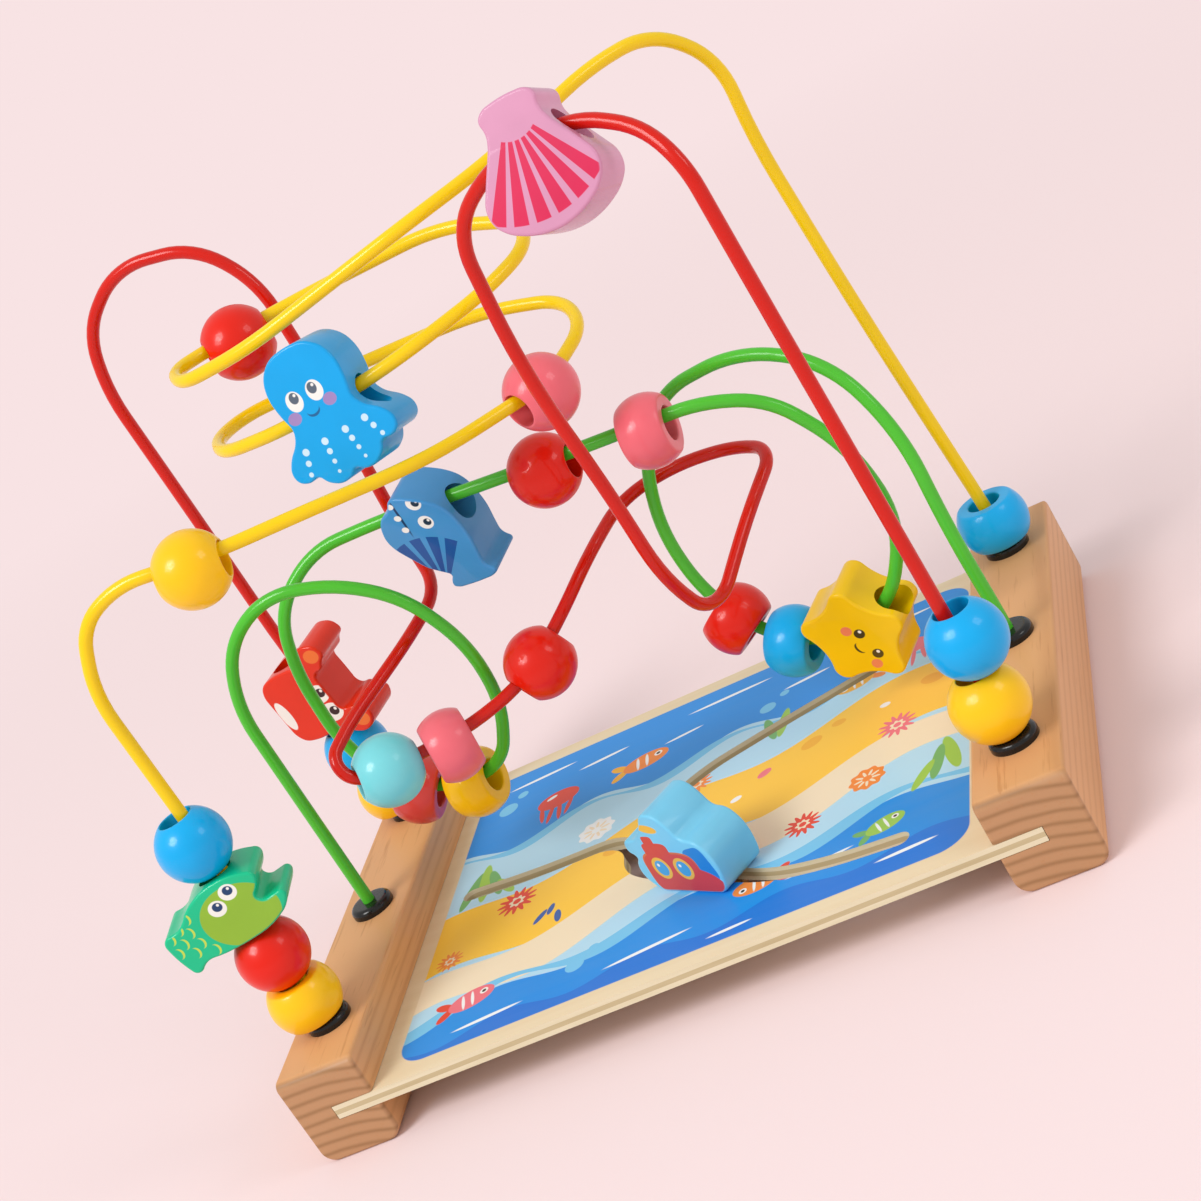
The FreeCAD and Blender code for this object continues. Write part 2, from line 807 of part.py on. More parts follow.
# Hanging figures: wire, corner, share, sense along the wire, depth, drop, yaw
FACES = [
    (octopus, "wire_yellow", 16, 1.2, 1, Vector(0.17, 0.97, -0.18), 0.8, 0),
    (whale, "wire_green", 15, 1.25, 1, Vector(0.29, 0.95, 0.14), 0.7, -5),
    (star, "wire_green", 22, 0.10, -1, Vector(0.49, 0.86, 0.17), -0.2, 0),
    (shell, "wire_red", 5, 1.5, -1, Vector(-0.13, 0.93, -0.34), 0.4, 6),
]
for figure, route, corner_number, share, sense, depth, drop, yaw in FACES:
    point, direction = on_run(ROUTES[route], corner_number, share)
    face(figure, point, direction * sense, depth, drop, yaw)

# Figures standing in the stacks on the left legs
FISH_YAW_DEGREES = 9
CRAB_YAW_DEGREES = -12
fish_reach = 0.44 * size("fish_height")
crab_reach = 0.38 * size("crab_width")
fish_z = figure_floor + fish_reach
stand(fish, "front_left", fish_z, -0.9, FISH_YAW_DEGREES)
crab_z = figure_floor + crab_reach + 2 * SLANT_GAPS * clear
stand(crab, "back_left", crab_z, -0.8, CRAB_YAW_DEGREES)

fish_bead = make_bead("front_left_bead_blue", False)
stand(fish_bead, "front_left", fish_z + fish_reach + clear + round_half, -0.9)
beads.append(fish_bead)

# Submarine on its peg, with the washer that keeps it on the track. It stands
# on the straight piece after one corner of the track, a share of the way along.
SUBMARINE_CORNER = 5
SUBMARINE_SHARE = 1.60
submarine_point, track_heading = on_run(track_corners(TRACK_SHARES), SUBMARINE_CORNER, SUBMARINE_SHARE)
submarine_point.z = 0
peg_foot = size("board_underside") - 2 * clear - size("washer_thickness")

submarine = new_body("submarine_body")
hull_sketch = outline_sketch(submarine, SUBMARINE_SHARES, size("submarine_length"), size("submarine_height"))
hull = submarine.newObject("PartDesign::Pad", "Hull")
hull.Profile = hull_sketch
hull.Midplane = True
bind(hull, {"Length": "Sizes.figure_thickness"})
half = size("figure_thickness") / 2
round_edges(submarine, lambda p: near(abs(p.y), half), "figure_edge_round", "FaceRounding")
add(submarine, "SubtractiveCylinder", "PegSocket", {
    "Radius": "Sizes.peg_diameter / 2",
    "Height": "Sizes.peg_socket",
})
peg = new_body("submarine_peg")
add(peg, "AdditiveCylinder", "Shank", {
    "Radius": "Sizes.peg_diameter / 2",
    "Height": "Sizes.peg_socket + Sizes.board_thickness + Sizes.washer_thickness + 3 * Sizes.clearance",
})
add(peg, "AdditiveCylinder", "Head", {
    "Radius": "Sizes.peg_head_diameter / 2",
    "Height": "Sizes.peg_head_height",
    "Placement.Base.z": "-Sizes.peg_head_height",
})
washer = new_body("retaining_washer")
add(washer, "AdditiveCylinder", "Disc", {
    "Radius": "Sizes.washer_diameter / 2",
    "Height": "Sizes.washer_thickness",
})
add(washer, "SubtractiveCylinder", "Bore", {
    "Radius": "Sizes.peg_diameter / 2 + Sizes.clearance",
    "Height": "Sizes.washer_thickness",
})
heading = FreeCAD.Rotation(along_x, track_heading)
submarine.Placement = FreeCAD.Placement(submarine_point + along_z * (board_top + clear), heading)
peg.Placement = FreeCAD.Placement(submarine_point + along_z * peg_foot, heading)
washer.Placement = FreeCAD.Placement(submarine_point + along_z * (peg_foot + clear), heading)

doc.recompute()

# Checks, then one file for each piece
pieces = rails + [board] + wires + collars + beads
pieces += [fish, octopus, shell, crab, whale, star, submarine, peg, washer]
for thing in doc.Objects:
    if "Invalid" in thing.State or "Error" in thing.State:
        raise RuntimeError("not computed: " + thing.Label)
for piece in pieces:
    if piece.Shape.isNull() or not piece.Shape.isValid() or len(piece.Shape.Solids) != 1:
        raise RuntimeError("no sound solid: " + piece.Label)
for wire, corners in zip(wires, ROUTES.values()):
    expected = open_run(corners).Length * math.pi * wire_radius ** 2
    if abs(wire.Shape.Volume / expected - 1) > 0.01:
        raise RuntimeError("pipe has the wrong volume: " + wire.Label)

os.makedirs("parts", exist_ok=True)
for piece in pieces:
    piece.Shape.exportStep("parts/%s.step" % piece.Label)
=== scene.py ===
# Bead maze: turned beads and painted sea animals on three enamelled wires,
# beech rails, a printed plywood board and a small submarine on its track.

import json
import math

import bmesh
import bpy
import numpy as np
from bpy.props import FloatProperty, FloatVectorProperty, PointerProperty
from mathutils import Euler, Matrix, Vector


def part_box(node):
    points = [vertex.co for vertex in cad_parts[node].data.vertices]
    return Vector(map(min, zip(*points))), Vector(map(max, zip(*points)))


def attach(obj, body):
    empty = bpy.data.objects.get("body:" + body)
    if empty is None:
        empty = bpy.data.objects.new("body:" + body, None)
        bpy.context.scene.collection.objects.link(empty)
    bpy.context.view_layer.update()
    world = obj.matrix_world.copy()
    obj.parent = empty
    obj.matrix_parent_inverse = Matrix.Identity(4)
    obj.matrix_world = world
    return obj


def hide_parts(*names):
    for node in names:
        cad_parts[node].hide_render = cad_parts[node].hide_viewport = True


bl_info = {
    "name": "Bead Maze",
    "version": (1, 0, 0),
    "blender": (4, 5, 0),
    "location": "View3D > Sidebar > Bead Maze",
    "description": "Dresses a bead maze: wood, enamel, painted figures and stage",
    "category": "Object",
}

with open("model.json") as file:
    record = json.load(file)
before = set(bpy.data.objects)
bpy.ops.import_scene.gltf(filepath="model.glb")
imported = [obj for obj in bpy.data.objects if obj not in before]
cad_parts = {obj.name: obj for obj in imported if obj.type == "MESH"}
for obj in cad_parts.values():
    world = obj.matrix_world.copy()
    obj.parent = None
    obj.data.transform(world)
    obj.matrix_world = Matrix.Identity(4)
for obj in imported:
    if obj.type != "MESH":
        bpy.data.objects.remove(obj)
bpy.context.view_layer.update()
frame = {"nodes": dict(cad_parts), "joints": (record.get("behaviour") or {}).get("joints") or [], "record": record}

MM = 0.001
BODY_OF = {node: body for body, nodes in frame["record"]["behaviour"]["bodies"].items() for node in nodes}
SLOT_OF = {part["node"]: part["material_slot"] for part in frame["record"]["subparts"]}
JOINT_OF = {joint["child"]: joint for joint in frame["joints"]}
BOARD_LOW, BOARD_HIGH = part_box("play_board")
RAIL_LOW, RAIL_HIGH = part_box("rail_right")


def colour(code):
    """Linear colour from a paint code such as #FFB81C."""
    parts = [int(code[i:i + 2], 16) / 255 for i in (1, 3, 5)]
    return tuple(v / 12.92 if v <= 0.04045 else ((v + 0.055) / 1.055) ** 2.4 for v in parts) + (1.0,)


def toned(base, red, green, blue):
    """A colour with its red, green and blue each multiplied by a factor, up to 1."""
    return tuple(min(1.0, v * f) for v, f in zip(base, (red, green, blue))) + (1.0,)


WHITE = colour("#F7F4EE")
BLACK = colour("#17171A")


# Sizes and colours that a user may change

def colour_choice(label, code):
    """A colour that a user may change, from a paint code."""
    return FloatVectorProperty(
        name=label, description="Colour of the " + label.lower(), subtype="COLOR",
        size=4, min=0.0, max=1.0, default=colour(code))


class MazeColours(bpy.types.PropertyGroup):
    """Paint, enamel and wood colours."""
    yellow_paint: colour_choice("Yellow paint", "#FFC808")
    red_paint: colour_choice("Red paint", "#E61A00")
    blue_paint: colour_choice("Blue paint", "#00ACEE")
    turquoise_paint: colour_choice("Turquoise paint", "#7AD8E0")
    pink_paint: colour_choice("Pink paint", "#EE6C78")
    coral_paint: colour_choice("Coral paint", "#D8443E")
    yellow_wire: colour_choice("Yellow enamel", "#FFD804")
    red_wire: colour_choice("Red enamel", "#DA1600")
    green_wire: colour_choice("Green enamel", "#52C832")
    fish_paint: colour_choice("Fish paint", "#0CC48C")
    octopus_paint: colour_choice("Octopus paint", "#06A6EC")
    shell_paint: colour_choice("Shell paint", "#D695B6")
    crab_paint: colour_choice("Crab paint", "#E42C04")
    whale_paint: colour_choice("Whale paint", "#4494D0")
    star_paint: colour_choice("Star paint", "#F8C800")
    submarine_paint: colour_choice("Submarine paint", "#78CCEE")
    beech: colour_choice("Beech", "#DBA470")
    veneer: colour_choice("Board veneer", "#F0DFBE")
    floor: colour_choice("Floor", "#F8E3E4")


class MazeSizes(bpy.types.PropertyGroup):
    """Sizes of the turned beads and of the finishes."""
    bead_diameter: FloatProperty(
        name="Bead diameter", description="Outer diameter of every bead",
        default=20 * MM, unit="LENGTH", subtype="DISTANCE")
    bead_hole: FloatProperty(
        name="Bead hole", description="Diameter of the hole through a bead",
        default=9.2 * MM, unit="LENGTH", subtype="DISTANCE")
    flat_length: FloatProperty(
        name="Flat bead length", description="Length of a flat bead along its hole",
        default=12.4 * MM, unit="LENGTH", subtype="DISTANCE")
    grain_scale: FloatProperty(
        name="Grain scale", description="Growth rings per metre across the beech rails",
        default=300.0, min=10.0)


# Helpers that build node trees

# Places of the colour sockets on a mix node
MIX_UNDER = 6
MIX_OVER = 7
MIX_RESULT = 2


class Tree:
    """Short hand for adding and joining the nodes of one tree."""

    def __init__(self, tree):
        self.tree = tree

    def feed(self, socket, source):
        """Joins another node's output to a socket, or sets the socket to a plain value."""
        if isinstance(source, bpy.types.NodeSocket):
            self.tree.links.new(source, socket)
        else:
            socket.default_value = source

    def node(self, kind, inputs=(), **settings):
        """Adds a node, with plain values or other nodes' outputs on its inputs."""
        made = self.tree.nodes.new(kind)
        for name, value in settings.items():
            setattr(made, name, value)
        for key, source in dict(inputs).items():
            self.feed(made.inputs[key], source)
        return made

    def maths(self, operation, first, second=0.0, third=0.0, clamp=False):
        """Output of one sum, kept between 0 and 1 if it is clamped."""
        made = self.node("ShaderNodeMath", operation=operation)
        for socket, source in zip(made.inputs, (first, second, third)):
            self.feed(socket, source)
        if clamp:
            return self.node("ShaderNodeClamp", {"Value": made.outputs[0]}).outputs[0]
        return made.outputs[0]


class Nodes(Tree):
    """Node tree of one material, round its shader."""

    def __init__(self, name):
        self.material = bpy.data.materials.new(name)
        self.material.use_nodes = True
        super().__init__(self.material.node_tree)
        self.shader = self.tree.nodes["Principled BSDF"]
        self.object_coordinates = self.node("ShaderNodeTexCoord").outputs["Object"]

    def past(self, source, edge, sharpness, clamp=False):
        """Mask that is 0 where the source is at an edge and rises beyond it. A negative
        sharpness makes it fall instead."""
        return self.maths("MULTIPLY_ADD", source, sharpness, -sharpness * edge, clamp)

    def between(self, source, low, high):
        """Takes a value of 0 to 1 to the range from low to high."""
        return self.maths("MULTIPLY_ADD", source, high - low, low)

    def mix(self, mask, under, over, blend="MIX"):
        """One colour under another, which shows where the mask is 1."""
        inputs = {0: mask, MIX_UNDER: under, MIX_OVER: over}
        made = self.node("ShaderNodeMix", inputs, data_type="RGBA", blend_type=blend)
        return made.outputs[MIX_RESULT]

    def noise(self, scale, detail=3.0, stretch=None, roughness=0.5):
        """Cloudy noise, whose scale counts its lumps in a metre."""
        source = self.object_coordinates
        if stretch:
            source = self.node("ShaderNodeMapping", {"Scale": stretch, "Vector": source}).outputs[0]
        inputs = {"Scale": scale, "Detail": detail, "Roughness": roughness, "Vector": source}
        return self.node("ShaderNodeTexNoise", inputs).outputs["Fac"]

    def bump(self, height, distance, strength):
        """Raises the surface by up to a distance in metres."""
        made = self.node("ShaderNodeBump", {"Strength": strength, "Distance": distance, "Height": height})
        self.feed(self.shader.inputs["Normal"], made.outputs[0])

    def finish(self, base, roughness, coat=0.0, coat_roughness=0.1, specular=0.2):
        """Sets the shader's colour and gloss and gives the material."""
        looks = {"Base Color": base, "Roughness": roughness, "Specular IOR Level": specular,
                 "Coat Weight": coat, "Coat Roughness": coat_roughness}
        for name, source in looks.items():
            self.feed(self.shader.inputs[name], source)
        return self.material


# Width of a printed shape's soft edge, and the half size below which it gets no softer
PRINT_EDGE_MM = 0.16
LEAST_HALF_SIZE_MM = 0.2
# A fan's wedges are where a wave round it is under a level. Their edges' sharpness is by the
# wave's height between them, by radian at the fan's sides and by millimetre at its ends
FAN_WEDGE_UNDER = 0.567
FAN_WEDGE_SHARPNESS = 6.0
FAN_SIDE_SHARPNESS = 60.0
FAN_END_SHARPNESS = 5.0


class Painter(Nodes):
    """Material with flat shapes painted on a plane, in millimetres."""

    def __init__(self, name, base, origin=(0, 0, 0), turn=None, up="Z"):
        super().__init__(name)
        turn = turn.to_euler("XYZ") if turn else (0, 0, 0)
        place = self.node("ShaderNodeMapping", {
            "Location": origin, "Rotation": turn, "Scale": (MM, MM, MM),
            "Vector": self.object_coordinates}, vector_type="TEXTURE")
        self.local = self.node("ShaderNodeSeparateXYZ", {"Vector": place.outputs[0]}).outputs
        self.u = self.local["X"]
        self.v = self.local[up]
        self.plane = self.node("ShaderNodeCombineXYZ", {"X": self.u, "Y": self.v, "Z": 1.0}).outputs[0]
        self.paint = base

    def unit(self, x, y, half_width, half_height, degrees):
        """Place in a turned oval's own measures, which are 1 at its rim. The plane's third
        number is 1, so that each row also takes the oval's own place off."""
        cosine, sine = math.cos(math.radians(degrees)), math.sin(math.radians(degrees))
        rows = ((cosine, sine, half_width), (-sine, cosine, half_height))
        return [self.node("ShaderNodeVectorMath", {
            0: self.plane, 1: (a / half, b / half, -(a * x + b * y) / half)},
            operation="DOT_PRODUCT").outputs["Value"] for a, b, half in rows]

    def squares(self, first, second):
        """Sum of two squares."""
        return self.maths("MULTIPLY_ADD", first, first, self.maths("MULTIPLY", second, second))

    def inside(self, square, half_size):
        """Mask over 1 where a squared unit distance is well under 1, with a soft printed edge.
        A mix takes any mask over 1 as 1 and any under 0 as 0."""
        sharp = max(half_size, LEAST_HALF_SIZE_MM) / PRINT_EDGE_MM / 2
        return self.maths("MULTIPLY_ADD", square, -sharp, sharp + 0.5)

    def without(self, mask, other):
        """Mask of what is in the first mask and not in the other."""
        return self.maths("MINIMUM", mask, self.maths("SUBTRACT", 1.0, other))

    def ellipse_mask(self, x, y, half_width, half_height, degrees=0):
        """Mask of a turned oval."""
        square = self.squares(*self.unit(x, y, half_width, half_height, degrees))
        return self.inside(square, min(half_width, half_height))

    def ellipse(self, tint, x, y, half_width, half_height=None, degrees=0):
        """Turned oval, or a round where only its half width is given."""
        mask = self.ellipse_mask(x, y, half_width, half_height or half_width, degrees)
        self.paint = self.mix(mask, self.paint, tint)

    def block(self, tint, x, y, half_width, half_height, degrees=0):
        """Rectangle with rounded corners."""
        first, second = (self.maths("MULTIPLY", side, side) for side in
                         self.unit(x, y, half_width, half_height, degrees))
        mask = self.inside(self.squares(first, second), min(half_width, half_height) * 2)
        self.paint = self.mix(mask, self.paint, tint)

    def star(self, tint, x, y, reach, degrees, points, depth):
        """Round with a wavy rim, whose dips are so deep a share of its reach."""
        across, along = self.unit(x, y, reach, reach, degrees)
        angle = self.maths("ARCTAN2", along, across)
        lobes = self.maths("COSINE", self.maths("MULTIPLY", angle, float(points)))
        rim = self.maths("MULTIPLY_ADD", lobes, depth / 2, 1 - depth / 2)
        square = self.maths("DIVIDE", self.squares(across, along), self.maths("MULTIPLY", rim, rim))
        self.paint = self.mix(self.inside(square, reach), self.paint, tint)

    def crescent(self, tint, x, y, reach, thickness, degrees=0):
        """Smile: one round minus the same round shifted up in the turned plane."""
        height_share = 0.8
        cut_width_share = 1.06
        outer = self.ellipse_mask(x, y, reach, reach * height_share, degrees)
        lift = math.radians(degrees + 90)
        inner = self.ellipse_mask(x + thickness * math.cos(lift), y + thickness * math.sin(lift),
                                  reach * cut_width_share, reach * height_share, degrees)
        self.paint = self.mix(self.without(outer, inner), self.paint, tint)

    def fan(self, tint, x, y, inner, outer, heading, spread, ribs):
        """An even number of wedges that spread from a point, within an angle each side."""
        across, along = self.unit(x, y, 1, 1, heading)
        angle = self.maths("ARCTAN2", across, along)
        radius = self.maths("SQRT", self.squares(across, along))
        limit = math.radians(spread)
        wave = self.maths("COSINE", self.maths("MULTIPLY", angle, math.pi * ribs / limit))
        mask = self.past(wave, FAN_WEDGE_UNDER, -FAN_WEDGE_SHARPNESS)
        for edge in (self.past(self.maths("ABSOLUTE", angle), limit, -FAN_SIDE_SHARPNESS),
                     self.past(radius, inner, FAN_END_SHARPNESS),
                     self.past(radius, outer, -FAN_END_SHARPNESS)):
            mask = self.maths("MINIMUM", mask, edge)
        self.paint = self.mix(mask, self.paint, tint)

    def wave_mask(self, level, slope, height, length, shift):
        """Mask that is 1 above a wavy line across the plane."""
        swing = self.maths("SINE", self.maths("MULTIPLY_ADD", self.u, 2 * math.pi / length, shift))
        line = self.maths("MULTIPLY_ADD", self.u, slope, level)
        line = self.maths("MULTIPLY_ADD", swing, height, line)
        over = self.maths("SUBTRACT", self.v, line)
        return self.maths("MULTIPLY_ADD", over, 1 / PRINT_EDGE_MM, 0.5)

    def wave_band(self, tint, low, high, slope, height, length, shift):
        """Band between two wavy lines that run a little out of step."""
        upper_height_share = 0.8
        upper_lead = 0.5
        above_low = self.wave_mask(low, slope, height, length, shift)
        above_high = self.wave_mask(high, slope, height * upper_height_share, length, shift + upper_lead)
        self.paint = self.mix(self.without(above_low, above_high), self.paint, tint)

    def masked(self, mask, under):
        """Keeps what is painted only where the mask is 1, over another colour."""
        self.paint = self.mix(mask, under, self.paint)


# Satin toy paint
PAINT_ROUGHNESS = 0.34
PAINT_GLOSS_CHANGE = 0.08
PAINT_COLOUR_CHANGE = 0.08


def paint_finish(nodes, base):
    """Satin toy paint: slight unevenness in colour and gloss, and a faint brushed surface."""
    uneven = nodes.noise(90.0, detail=2.0)
    shade = nodes.between(uneven, 1 - PAINT_COLOUR_CHANGE, 1 + PAINT_COLOUR_CHANGE)
    tinted = nodes.mix(1.0, base, shade, blend="MULTIPLY")
    gloss = nodes.between(nodes.noise(420.0, detail=2.0), PAINT_ROUGHNESS - PAINT_GLOSS_CHANGE,
                          PAINT_ROUGHNESS + PAINT_GLOSS_CHANGE)
    nodes.bump(nodes.noise(700.0, detail=1.0), distance=0.03 * MM, strength=0.15)
    return nodes.finish(tinted, gloss, coat=0.35, coat_roughness=0.07)


def wire_enamel(name, base):
    """Dipped enamel on steel bar: glossy, with a slow unevenness along the wire."""
    nodes = Nodes(name)
    uneven = nodes.noise(60.0, detail=2.0)
    nodes.bump(nodes.noise(160.0, detail=2.0), distance=0.12 * MM, strength=0.35)
    enamel = nodes.mix(uneven, toned(base, 0.86, 0.86, 0.86), base)
    return nodes.finish(enamel, roughness=0.24, coat=0.35, coat_roughness=0.06)


def collar_plastic():
    """Moulded black plastic with a little uneven gloss."""
    nodes = Nodes("black_collar_plastic")
    gloss = nodes.between(nodes.noise(300.0), 0.16, 0.36)
    nodes.bump(nodes.noise(700.0, detail=2.0), distance=0.05 * MM, strength=0.4)
    return nodes.finish(colour("#141415"), gloss, coat=0.4, coat_roughness=0.1)


# Distance from the middle beyond which a rail shows its end grain
END_GRAIN_FROM = RAIL_HIGH.y - 1.8 * MM
END_GRAIN_SHARPNESS = 800.0
# Heart of the log that each rail was sawn from: across and up, in metres
HEART_OF = {"rail_left": (-108 * MM, -62 * MM), "rail_right": (86 * MM, -62 * MM)}


def beech_wood(name, base, rings, heart=(0.0, 0.0)):
    """Lacquered beech: growth rings round a line along Y, fine rays and short pores."""
    nodes = Nodes(name)
    placed = nodes.node("ShaderNodeMapping", {
        "Location": (-heart[0], 0.0, -heart[1]), "Scale": (1.0, 0.06, 1.0),
        "Vector": nodes.object_coordinates}).outputs[0]
    ring = nodes.node("ShaderNodeTexWave", {
        "Scale": rings * math.pi / 10, "Distortion": 2.6, "Detail": 2.0, "Detail Scale": 0.5,
        "Detail Roughness": 0.5, "Vector": placed}, wave_type="RINGS", rings_direction="Y").outputs["Fac"]
    ring = nodes.maths("POWER", ring, 3.0)
    blotch = nodes.noise(26.0, stretch=(1.0, 0.22, 1.0))
    pores = nodes.noise(900.0, detail=2.0, stretch=(1.0, 0.05, 1.0), roughness=0.7)
    fleck = nodes.past(pores, 0.4, -9.0, clamp=True)
    dark = toned(base, 0.72, 0.60, 0.50)
    tone = nodes.mix(nodes.maths("MULTIPLY", ring, 0.62), base, dark)
    tone = nodes.mix(nodes.past(blotch, 0.375, 2.0, clamp=True), tone, toned(base, 1.10, 1.12, 1.16))
    tone = nodes.mix(nodes.maths("MULTIPLY", fleck, 0.5), tone, dark)
    # end grain: greyer, with the rings as dark lines
    parts = nodes.node("ShaderNodeSeparateXYZ", {"Vector": nodes.object_coordinates}).outputs
    end = nodes.past(nodes.maths("ABSOLUTE", parts["Y"]), END_GRAIN_FROM, END_GRAIN_SHARPNESS)
    lined = nodes.mix(nodes.maths("MULTIPLY", ring, 0.9), toned(base, 0.74, 0.76, 0.86),
                      toned(base, 0.5, 0.5, 0.5))
    tone = nodes.mix(end, tone, nodes.mix(nodes.maths("MULTIPLY", fleck, 0.25), lined, dark))
    nodes.bump(nodes.maths("ADD", ring, pores), distance=0.06 * MM, strength=0.4)
    return nodes.finish(tone, nodes.between(blotch, 0.38, 0.54), coat=0.12, coat_roughness=0.25)


# Board print: a generic sea bed with motifs of its own

# The print stops short of the rails' inner faces and of the board's front and back edges
PRINT_HALF_WIDTH_MM = RAIL_LOW.x / MM - 5.5
PRINT_HALF_DEPTH_MM = BOARD_HIGH.y / MM - 6.0
PRINT_CORNER_MM = 9.0
PRINT_RIM_SHARPNESS = 3.0
INKS = {
    "shallow": colour("#B4E0F6"),
    "sea": colour("#0090E8"),
    "deep": colour("#0076DA"),
    "foam": colour("#F4F8F8"),
    "aqua": colour("#74C8F2"),
    "sand": colour("#FFCB3C"),
    "cream": colour("#F5E4C4"),
    "gold": colour("#F6B427"),
    "red": colour("#E5402A"),
    "pink": colour("#EF7381"),
    "orange": colour("#F58B33"),
    "leaf": colour("#9CCB52"),
    "moss": colour("#6FB36A"),
    "navy": colour("#2B5DA8"),
}
# Bands of water and sand: ink, lower level, upper level, slope, wave height and length, shift
BANDS = [
    ("sea", 34, 90, 0.10, 4.0, 46, 0.4),
    ("aqua", 31, 34, 0.10, 4.0, 46, 0.4),
    ("sand", -18, 12, 0.22, 5.0, 70, 2.2),
    ("cream", -34, -18, 0.22, 5.0, 70, 2.2),
    ("sea", -90, -46, 0.12, 4.5, 58, 1.0),
    ("aqua", -46, -42, 0.12, 4.5, 58, 1.0),
    ("deep", -90, -62, 0.05, 3.0, 40, 2.6),
]
# Ovals: ink, x, y, half width, half height, turn
OVALS = [
    ("foam", -60, 62, 11, 0.7, 4), ("foam", -38, 57, 8, 0.7, 6), ("foam", 4, 62, 13, 0.7, 2),
    ("foam", 30, 52, 7, 0.7, 8), ("foam", 60, 63, 9, 0.7, 3), ("foam", -10, 50, 6, 0.6, 8),
    ("foam", -55, -62, 10, 0.7, 5), ("foam", -8, -60, 12, 0.7, 7), ("foam", 40, -52, 9, 0.7, 10),
    ("foam", 64, -62, 8, 0.7, 4), ("foam", 16, -66, 6, 0.6, 4),
    ("aqua", -70, 50, 3.2, 3.2, 0), ("aqua", -66, 56, 1.8, 1.8, 0), ("aqua", 18, 44, 2.6, 2.6, 0),
    ("aqua", 23, 49, 1.5, 1.5, 0), ("aqua", -30, -54, 2.8, 2.8, 0), ("aqua", -25, -49, 1.6, 1.6, 0),
    ("gold", -18, -6, 4.2, 2.8, 20), ("gold", -27, -2, 2.6, 1.9, -15), ("gold", -9, -12, 2.2, 1.6, 10),
    ("gold", 34, 12, 3.4, 2.4, 30), ("gold", 42, 17, 2.2, 1.6, 0), ("gold", 70, 20, 3.6, 2.6, -20),
    ("foam", 56, 16, 1.6, 1.2, 0), ("foam", 12, -2, 1.8, 1.2, 25), ("pink", 20, 6, 2.4, 1.6, 40),
    ("moss", -74, 8, 1.9, 9.0, -14), ("leaf", -70, 10, 2.0, 10.0, 4), ("moss", -66, 8, 1.8, 8.0, 20),
    ("leaf", -62, 4, 1.6, 6.0, 34), ("leaf", 76, -24, 2.0, 9.0, 12), ("moss", 72, -26, 1.8, 8.0, -8),
    ("leaf", 68, -30, 1.6, 6.5, -26), ("moss", 20, 30, 1.6, 7.0, 16), ("leaf", 24, 31, 1.6, 7.6, -6),
    ("red", -56, 37, 0.8, 4.6, 10), ("red", -53, 36, 0.8, 5.2, -4), ("red", -50, 36, 0.8, 5.2, 6),
    ("red", -47, 37, 0.8, 4.6, -8), ("red", -51.5, 43.5, 7.0, 4.8, 4), ("foam", -54, 45.5, 1.8, 0.8, 24),
    ("pink", 58, 38, 0.7, 4.4, -8), ("pink", 61, 37, 0.7, 5.0, 6), ("pink", 64, 37, 0.7, 5.0, -4),
    ("pink", 67, 38, 0.7, 4.2, 10), ("pink", 62.5, 44, 6.2, 4.4, -6), ("foam", 60, 46, 1.6, 0.7, 20),
    ("navy", -46, -22, 3.2, 1.1, 60), ("navy", -40, -25, 3.2, 1.1, 100), ("navy", -43, -20, 2.6, 1.0, 80),
]
# Plain fish: body ink, tail ink, x, y, half length, half height, heading
FISH = [
    ("orange", "gold", -22, 44, 7.5, 4.4, 8),
    ("gold", "orange", 46, 36, 6.0, 3.6, 190),
    ("pink", "red", -62, -50, 7.0, 4.2, 12),
    ("orange", "red", 22, -50, 6.4, 3.8, 184),
    ("leaf", "moss", 58, -46, 5.6, 3.4, 20),
]
# Sea urchins: ink, x, y, reach, turn
URCHINS = [("red", -56, -8, 6.4, 20), ("pink", 60, 2, 5.8, 52), ("orange", -2, 16, 5.0, 8),
           ("red", 34, -30, 5.4, 34), ("orange", -74, -26, 4.4, 0)]
# Sand dollars: ink, x, y, reach, turn
SAND_DOLLARS = [("pink", 10, -26, 7.0, 15), ("foam", -34, 14, 6.0, -30), ("orange", 52, -20, 5.4, 70)]


def print_fish(painter, body_ink, tail_ink, x, y, half_length, half_height, heading):
    """Plain fish: a forked tail, an oval body with two pale stripes, and an eye."""
    turn = math.radians(heading)
    ahead = Vector((math.cos(turn), math.sin(turn)))
    aside = Vector((-ahead.y, ahead.x))

    def spot(forward_share, side_share):
        return Vector((x, y)) + ahead * half_length * forward_share + aside * half_height * side_share

    for side in (-1, 1):
        painter.ellipse(INKS[tail_ink], *spot(-1.15, side * 0.5), half_height * 0.75,
                        half_height * 0.36, heading - side * 38)
    painter.ellipse(INKS[body_ink], x, y, half_length, half_height, heading)
    for stripe in (-0.35, 0.05):
        painter.ellipse(INKS["foam"], *spot(stripe, 0), half_length * 0.07, half_height * 0.8, heading)
    painter.ellipse(WHITE, *spot(0.55, 0.2), half_height * 0.3)
    painter.ellipse(BLACK, *spot(0.55, 0.2), half_height * 0.15)


